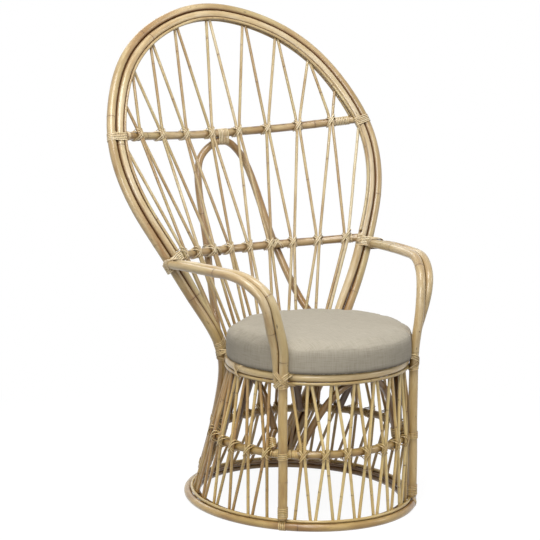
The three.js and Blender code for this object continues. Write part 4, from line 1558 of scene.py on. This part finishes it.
    def post_head(self, side: int, label: str) -> list[Mesh]:
        """Ties a post, its shaved outer pole and the seat's trim to the seat ring.

        Args:
            side: the sign of the side's x.
            label: the side's name.

        Returns:
            The meshes of the turns.
        """
        chair = self.chair
        foot = chair.at_height(f"arm_post_{label}", self.post_seat, side)
        ring, trim = chair.member("seat_ring", foot), chair.member("seat_trim", foot)
        stem = chair.member(f"arm_post_{label}", foot)
        shaved = replace(chair.member(f"arm_outer_{label}", foot), radius=Arms.foot_shaved * ARM)
        made = chair.cross(f"post_seat_{label}", (foot + ring.point) / 2, ring.direction, np.array(UP),
                           [stem, ring, trim, shaved], strands=3, angle=42)
        return made + chair.coil(f"post_twin_{label}", foot - [0, 0, self.post_coil], np.array(UP),
                                 [stem], 2, tilt=9.0)

    def post_foot_ties(self, side: int, label: str) -> list[Mesh]:
        """Ties a post to the middle ring with the braces that root there, and to the floor ring.

        Args:
            side: the sign of the side's x.
            label: the side's name.

        Returns:
            The meshes of the turns.
        """
        chair, post = self.chair, f"arm_post_{label}"
        waist = chair.at_height(post, self.post_middle, side)
        made = chair.coil(f"post_middle_{label}", waist, np.array(UP), [chair.member(post, waist)], 4)
        for brace in ("brace_front", f"brace_{label}"):
            made += self.ear(f"ear_{label}_{brace}", brace, waist)
        foot = chair.at_height(post, self.post_foot, side)
        made += chair.coil(f"foot_{label}", foot, np.array(UP), [chair.member(post, foot)], 6)
        low = chair.member("base_ring_outer", foot)
        rim = chair.member("base_rim_outer", foot)
        return made + chair.coil(f"floor_{label}", low.point, low.direction, [low, rim], 4)

    def ear(self, name: str, brace: str, waist: np.ndarray) -> list[Mesh]:
        """Wraps a brace's root to the middle ring, from the post outwards as the two part.

        Args:
            name: the binding's name.
            brace: the brace's node.
            waist: where the post meets the ring.

        Returns:
            The meshes of the turns.
        """
        chair, made = self.chair, []
        line = chair.lines[brace]
        if np.linalg.norm(line[-1] - waist) < np.linalg.norm(line[0] - waist):
            line = line[::-1]
        ring = chair.member("mid_ring", waist)
        outward = ring.direction * np.sign(ring.direction @ (line[20] - waist))
        pitch = chair.peel.pitch
        for k in range(self.ear_turns):
            low = chair.member("mid_ring", waist + outward * (self.ear_start + k * pitch))
            normal = unit(outward + [0, 0, 0.06 * k])
            made.append(chair.peel.strand(f"{name}_ring_{k}", low.point, normal, [low]))
        root = line[5]
        stem = Member(root, unit(line[12] - line[0]), chair.radii[brace], 60 * MM)
        for k in range(self.ear_turns):
            from_middle = k - (self.ear_turns - 1) / 2
            fan = unit(stem.direction - self.ear_fan * from_middle * outward)
            made.append(chair.peel.strand(f"{name}_stem_{k}", root + stem.direction * from_middle * pitch,
                                          fan, [stem]))
        chair.knots.append(waist + outward * self.ear_middle)
        return [m for m in made if m]

    def rings(self) -> None:
        """Ties the seat's trim to its ring at each side and in front of each rear leg."""
        chair, meshes = self.chair, []
        line = chair.lines["seat_ring"]
        middle = (line.min(axis=0) + line.max(axis=0)) / 2
        for side in (-1, 1):
            for i, sine in enumerate(self.seat_ties):
                aim = middle + self.seat_radius * np.array([side * math.sqrt(1 - sine ** 2), sine, 0.0])
                spot = line[int(np.argmin(np.linalg.norm(line - aim, axis=1)))]
                ring, trim = chair.member("seat_ring", spot), chair.member("seat_trim", spot)
                meshes += chair.cross(f"seat_{side}_{i}", (ring.point + trim.point) / 2,
                                      ring.direction, np.array(UP), [ring, trim])
        chair.bind("seat_ring_bindings", meshes)

    def build(self) -> None:
        """Makes all the bindings."""
        self.rails()
        self.loop()
        self.middle_ring()
        self.hoop()
        self.arms()
        self.rings()
        self.chair.paint_contact_shade()


@dataclass
class SeatCushion:
    """A loose round box cushion with a soft crown, in linen."""

    radius: float = 265 * MM
    thickness: float = 93 * MM
    shift: tuple[float, float] = (5 * MM, -5 * MM)  # laid a little off the middle of the seat
    columns: int = 128                # points round it before it is blown up
    voxel: float = 6 * MM
    pressure: float = 4.0
    frames: int = 20                  # that the cloth takes to fill
    cap: float = 9 * MM               # how far the filling may move a point
    slump: float = 10 * MM            # how far the lower side sags on to the seat ring
    clear: float = 0.4 * MM           # between its lowest points and the seat
    sag_starts: float = 0.85          # share of the radius past which it sags
    rim_starts: float = 170 * MM      # distance out past which it is dented
    dent_up: float = 0.8 * MM         # size of the dents in its top
    dent_out: float = 0.7 * MM        # and in its side
    post_clear: float = 0.8 * MM      # between it and a post
    post_dent: float = 110 * MM       # the larger, the wider the dent round a post
    lid_slope: float = 0.62           # a face that points further up is the lid
    side_shade: float = 0.12           # how much painted shade its side panel gets
    tuck_shadow: float = 0.75           # and how much more painted shadow at its lower edge
    tuck_shadow_height: float = 7 * MM              # how high that painted shadow reaches
    post_level: float = 0.48          # height at which the posts press into it
    dents: tuple[tuple[int, float, float], ...] = ((3, 0.7, 0.6), (7, 2.1, 0.5), (13, 0.4, 0.35))
    half_section: tuple[tuple[float, float], ...] = (
        (0.0, 0.0), (0.45, 0.0), (0.94, 0.0), (0.983, 0.01), (0.995, 0.06), (1.0, 0.22), (1.0, 0.46),
        (0.995, 0.66), (0.977, 0.8), (0.94, 0.885), (0.87, 0.93), (0.7, 0.962), (0.4, 0.989), (0.0, 1.0))

    def build(self, chair: Chair) -> None:
        """Makes the cushion, blows it up by simulation and dresses it.

        The start is a half section turned round the middle: x is the section's distance out times
        the cosine of the angle, y the same times its sine, and z the section's height.

        Args:
            chair: the chair, whose front posts dent the cushion.
        """
        low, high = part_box("cushion")
        centre = np.array([(low[0] + high[0]) / 2, (low[1] + high[1]) / 2]) + self.shift
        section = np.array(self.half_section)
        start = (self.radius - self.cap / 2, self.thickness - self.cap / 2)
        knots = np.stack([section[:, 0] * start[0], np.zeros(len(section)), section[:, 1] * start[1]], axis=1)
        line = spline(knots, 7 * MM, False)
        angle = np.linspace(0, 2 * np.pi, self.columns, endpoint=False)
        inner = line[1:-1]
        grid = np.empty((len(inner), len(angle), 3))
        grid[..., 0] = inner[:, None, 0] * np.cos(angle) + centre[0]
        grid[..., 1] = inner[:, None, 0] * np.sin(angle) + centre[1]
        grid[..., 2] = np.maximum(inner[:, None, 2], 0) + low[2] + 0.5 * MM
        mesh = grid_mesh("cushion_linen", grid[:, ::-1], (False, True), caps=True)
        piece = place(mesh, "cushion_linen", LinenFinish().build())
        self.inflate(piece, float(low[2]))
        posts = [chair.at_height(f"arm_post_{label}", self.post_level, side)
                 for side, label in ((-1, "left"), (1, "right"))]
        self.settle(piece, centre, float(low[2]), float(high[2]), posts)
        self.lay_cloth(piece, centre, float(low[2]))
        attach(piece, "cushion")
        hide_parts("cushion")
        LOG.info("made cushion_linen")

    def inflate(self, piece: bpy.types.Object, floor: float) -> None:
        """Blows the cushion up as cloth, with each point's move capped, and applies the result.

        Args:
            piece: the cushion.
            floor: the height of the seat, below which no point goes.
        """
        bpy.context.view_layer.objects.active = piece
        remesh = piece.modifiers.new("even_faces", "REMESH")
        remesh.mode, remesh.voxel_size = "VOXEL", self.voxel
        apply_modifiers(piece)
        before = vertex_positions(piece.data)
        cloth = piece.modifiers.new("stuffing", "CLOTH")
        cloth.settings.use_pressure = True
        cloth.settings.uniform_pressure_force = self.pressure
        cloth.settings.effector_weights.gravity = 0
        scene = bpy.context.scene
        for number in range(1, self.frames + 1):
            scene.frame_set(number)
        apply_modifiers(piece)
        scene.frame_set(1)
        after = vertex_positions(piece.data)
        move = after - before
        size = np.linalg.norm(move, axis=1, keepdims=True)
        after = before + move * np.minimum(1, self.cap / np.maximum(size, 1e-9))
        after[:, 2] = np.maximum(after[:, 2], floor + self.clear)
        write_positions(piece.data, after)

    def press(self, points: np.ndarray, centre: np.ndarray, post: np.ndarray) -> None:
        """Dents the side where it lies against a post.

        A point's distance from the middle is held under the post's near face, and that limit
        rises to either side with the square of the distance round the cushion.

        Args:
            points: the cushion's points, which are changed.
            centre: its middle in plan.
            post: the post's place from that middle.
        """
        face = float(np.linalg.norm(post)) - POST - self.post_clear
        flat = points[:, :2] - centre
        radius = np.linalg.norm(flat, axis=1)
        turn = np.arctan2(flat[:, 1], flat[:, 0]) - math.atan2(post[1], post[0])
        round_way = self.radius * np.abs(np.angle(np.exp(1j * turn)))
        limit = face + np.maximum(round_way - 0.7 * POST, 0) ** 2 / self.post_dent
        points[:, :2] = centre + flat * np.minimum(1, limit / np.maximum(radius, 1e-6))[:, None]

    def settle(self, piece: bpy.types.Object, centre: np.ndarray, floor: float, ceiling: float,
               posts: list[np.ndarray]) -> None:
        """Sags the cushion on to its seat, eases in soft dents and keeps it in its space.

        The lower side sags by a share that is greatest a quarter of the way up. The dents are
        the sum of low sines of the angle round it, each a number of waves, a phase and a size.

        Args:
            piece: the cushion.
            centre: its middle in plan.
            floor: its lowest height.
            ceiling: its highest height.
            posts: the front posts' centres, which press into it.
        """
        points = vertex_positions(piece.data)
        flat = points[:, :2] - centre
        points[:, :2] = centre + flat * self.radius / np.linalg.norm(flat, axis=1).max()
        lowest, highest = points[:, 2].min(), points[:, 2].max()
        points[:, 2] = floor + self.clear + (points[:, 2] - lowest) * self.thickness / (highest - lowest)
        flat = points[:, :2] - centre
        radius = np.linalg.norm(flat, axis=1)
        theta = np.arctan2(flat[:, 1], flat[:, 0])
        share = np.clip((points[:, 2] - floor) / (ceiling - floor), 0, 1)
        outer = np.clip((radius / self.radius - self.sag_starts) / 0.1, 0, 1)
        sag = np.clip(share / 0.12, 0, 1) * np.clip((0.6 - share) / 0.35, 0, 1)
        points[:, 2] = np.maximum(points[:, 2] - outer * self.slump * sag, floor + self.clear)
        share = np.clip((points[:, 2] - floor) / (ceiling - floor), 0, 1)
        dent = sum(size * np.sin(waves * theta + phase) for waves, phase, size in self.dents)
        rim = np.clip((radius - self.rim_starts) / (70 * MM), 0, 1) * np.clip(share * 4, 0, 1)
        points[:, 2] += rim * share * dent * self.dent_up
        points[:, :2] += unit(flat) * (rim * dent * self.dent_out)[:, None]
        for post in posts:
            self.press(points, centre, post[:2] - centre)
        write_positions(piece.data, points)
        smooth = piece.modifiers.new("soft", "SUBSURF")
        smooth.levels = smooth.render_levels = 1
        apply_modifiers(piece)
        piece.data.polygons.foreach_set("use_smooth", np.ones(len(piece.data.polygons), bool))

    def lay_cloth(self, piece: bpy.types.Object, centre: np.ndarray, floor: float) -> None:
        """Lays the weave's directions, and paints shade on the side panel and a darker shadow where it tucks
        under.

        The attribute cloth holds x and y on the lid, and length round and height on the side.

        Args:
            piece: the cushion.
            centre: its middle in plan.
            floor: its lowest height.
        """
        points = vertex_positions(piece.data)
        normals = np.empty(len(points) * 3, np.float32)
        piece.data.vertices.foreach_get("normal", normals)
        lid = np.abs(normals.reshape(-1, 3)[:, 2]) > self.lid_slope
        flat = points[:, :2] - centre
        theta = np.arctan2(flat[:, 1], flat[:, 0])
        side = np.stack([theta * 0.25, points[:, 2], np.full(len(points), 3.0)], axis=1)
        top = np.stack([points[:, 0], points[:, 1], np.zeros(len(points))], axis=1)
        set_attribute(piece.data, "cloth", np.where(lid[:, None], top, side))
        # Painted shade on the side panel, deepest along the lower edge, where the cushion meets the seat
        # ring.
        low = np.exp(-((points[:, 2] - floor) / self.tuck_shadow_height) ** 2)
        set_attribute(piece.data, "tucked", np.where(lid, 0.0, self.side_shade + self.tuck_shadow * low))


def vertex_positions(mesh: Mesh) -> np.ndarray:
    """Reads a mesh's points as rows."""
    co = np.empty(len(mesh.vertices) * 3)
    mesh.vertices.foreach_get("co", co)
    return co.reshape(-1, 3)


def write_positions(mesh: Mesh, points: np.ndarray) -> None:
    """Writes rows of points back to a mesh."""
    mesh.vertices.foreach_set("co", points.ravel())
    mesh.update()


def apply_modifiers(piece: bpy.types.Object) -> None:
    """Bakes an object's modifiers into its mesh.

    Args:
        piece: the object.
    """
    graph = bpy.context.evaluated_depsgraph_get()
    baked = bpy.data.meshes.new_from_object(piece.evaluated_get(graph))
    old = piece.data
    piece.modifiers.clear()
    piece.data = baked
    baked.name = old.name
    bpy.data.meshes.remove(old)


@dataclass
class Studio:
    """The camera at the photograph's angle, soft lamps and a pale floor."""

    lens: float = 144.74
    target: tuple[float, float, float] = (0.0, 0.16102, 0.6431)  # from the base's centre
    offset: tuple[float, float, float] = (-3.2960, -5.2855, 1.1278)
    world_light: float = 0.28

    def build(self) -> None:
        """Makes the camera, the world, the lamps and the floor."""
        low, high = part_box("base_ring_outer")
        base = Vector((0, (low[1] + high[1]) / 2, 0))
        camera = bpy.data.objects.new("camera", bpy.data.cameras.new("camera"))
        bpy.context.scene.collection.objects.link(camera)
        camera.data.sensor_width, camera.data.lens = 36.0, self.lens
        camera.location = base + Vector(self.target) + Vector(self.offset)
        camera.rotation_mode = "QUATERNION"
        camera.rotation_quaternion = (-Vector(self.offset)).to_track_quat("-Z", "Y")
        camera.data.clip_start, camera.data.clip_end = 0.1, 60
        bpy.context.scene.camera = camera
        self.world()
        for name, place_at, size, power, aim in (
                ("lamp_above", (-0.9, -0.9, 3.6), 1.6, 78.0, (0, 0, 0.6)),
                ("lamp_front", (-2.9, -3.6, 3.0), 1.6, 80.0, (0, 0, 0.7)),
                ("lamp_right", (3.2, -2.6, 2.4), 1.4, 22.0, (0, 0, 0.7)),
                ("lamp_back", (0.6, 4.0, 3.2), 1.8, 26.0, (0, 0, 0.8))):
            self.lamp(name, place_at, size, power, aim)
        self.floor()
        bpy.context.scene.view_settings.view_transform = "Standard"

    def world(self) -> None:
        """Lights the room evenly and shows white behind the chair."""
        world = bpy.data.worlds.new("studio")
        bpy.context.scene.world = world
        world.use_nodes = True
        tree = world.node_tree
        tree.nodes.clear()
        strength = add_node(tree, "ShaderNodeMix", {
            SHARE: self.shown(tree), LEAST: self.world_light, MOST: 1.0}, data_type="FLOAT").outputs[0]
        background = add_node(tree, "ShaderNodeBackground", {"Color": (1, 1, 1, 1), "Strength": strength})
        add_node(tree, "ShaderNodeOutputWorld", {"Surface": background.outputs[0]})

    @staticmethod
    def shown(tree: Tree) -> Socket:
        """Gives one for the rays of the camera, of shines and through glass, and zero for others.

        Args:
            tree: the nodes that ask.

        Returns:
            The number's socket.
        """
        path = add_node(tree, "ShaderNodeLightPath")
        rays = [path.outputs[f"Is {kind} Ray"] for kind in ("Camera", "Glossy", "Transmission")]
        two = add_node(tree, "ShaderNodeMath", {0: rays[0], 1: rays[1]}, operation="MAXIMUM").outputs[0]
        return add_node(tree, "ShaderNodeMath", {0: two, 1: rays[2]}, operation="MAXIMUM").outputs[0]

    def lamp(self, name: str, place_at: tuple[float, float, float], size: float, power: float,
             aim: tuple[float, float, float]) -> None:
        """Adds one square lamp.

        Args:
            name: the lamp's name.
            place_at: where it hangs.
            size: the side of its square.
            power: watts.
            aim: the point that it faces.
        """
        data = bpy.data.lights.new(name, "AREA")
        data.size, data.energy = size, power
        lamp = bpy.data.objects.new(name, data)
        bpy.context.scene.collection.objects.link(lamp)
        lamp.location = place_at
        lamp.rotation_mode = "QUATERNION"
        lamp.rotation_quaternion = (Vector(aim) - Vector(place_at)).to_track_quat("-Z", "Y")

    def floor(self) -> None:
        """Lays the pale floor, which shows white to the camera but keeps the chair's shadow.

        To the camera it adds a glow to its own colour near the chair, and turns to plain white
        with distance.
        """
        mesh = bpy.data.meshes.new("floor")
        mesh.from_pydata([(-20, -20, 0), (20, -20, 0), (20, 20, 0), (-20, 20, 0)], [], [(0, 1, 2, 3)])
        material, tree = new_material("pale_floor")
        seen = self.shown(tree)
        spot = add_node(tree, "ShaderNodeTexCoord").outputs["Object"]
        away = add_node(tree, "ShaderNodeVectorMath", {0: spot}, operation="LENGTH").outputs["Value"]
        far = add_node(tree, "ShaderNodeMapRange", {"Value": away, "From Min": 0.6, "From Max": 1.5},
                       interpolation_type="SMOOTHSTEP").outputs["Result"]
        white = add_node(tree, "ShaderNodeMath", {0: far, 1: seen}, operation="MULTIPLY").outputs[0]
        tone = add_node(tree, "ShaderNodeMix", {SHARE: seen, FIRST: linear("#A8A6A3"),
                                                SECOND: linear("#6A6A6A")}, data_type="RGBA").outputs[MIXED]
        own = add_node(tree, "ShaderNodeBsdfDiffuse", {"Color": tone})
        glow = add_node(tree, "ShaderNodeEmission", {"Strength": add_node(
            tree, "ShaderNodeMath", {0: seen, 1: 0.92}, operation="MULTIPLY").outputs[0]})
        near = add_node(tree, "ShaderNodeAddShader", {0: own.outputs[0], 1: glow.outputs[0]})
        plain = add_node(tree, "ShaderNodeEmission", {"Strength": 1.0})
        both = add_node(tree, "ShaderNodeMixShader", {0: white, 1: near.outputs[0], 2: plain.outputs[0]})
        add_node(tree, "ShaderNodeOutputMaterial", {"Surface": both.outputs[0]})
        piece = place(mesh, "floor", material)


def main() -> None:
    """Builds the studio and the chair."""
    logging.basicConfig(level=logging.INFO, format="%(name)s: %(message)s")
    Studio().build()
    chair = Chair()
    for part in (Back(), Arms(), Base(), Deck(), Fan()):
        for pole in part.poles():
            chair.make_pole(pole)
    lattice = BaseLattice()
    lattice.build(chair)
    Bindings(chair, lattice).build()
    SeatCushion().build(chair)
    bpy.context.view_layer.update()
    LOG.info("the chair is whole")


if __name__ == "__main__":
    main()
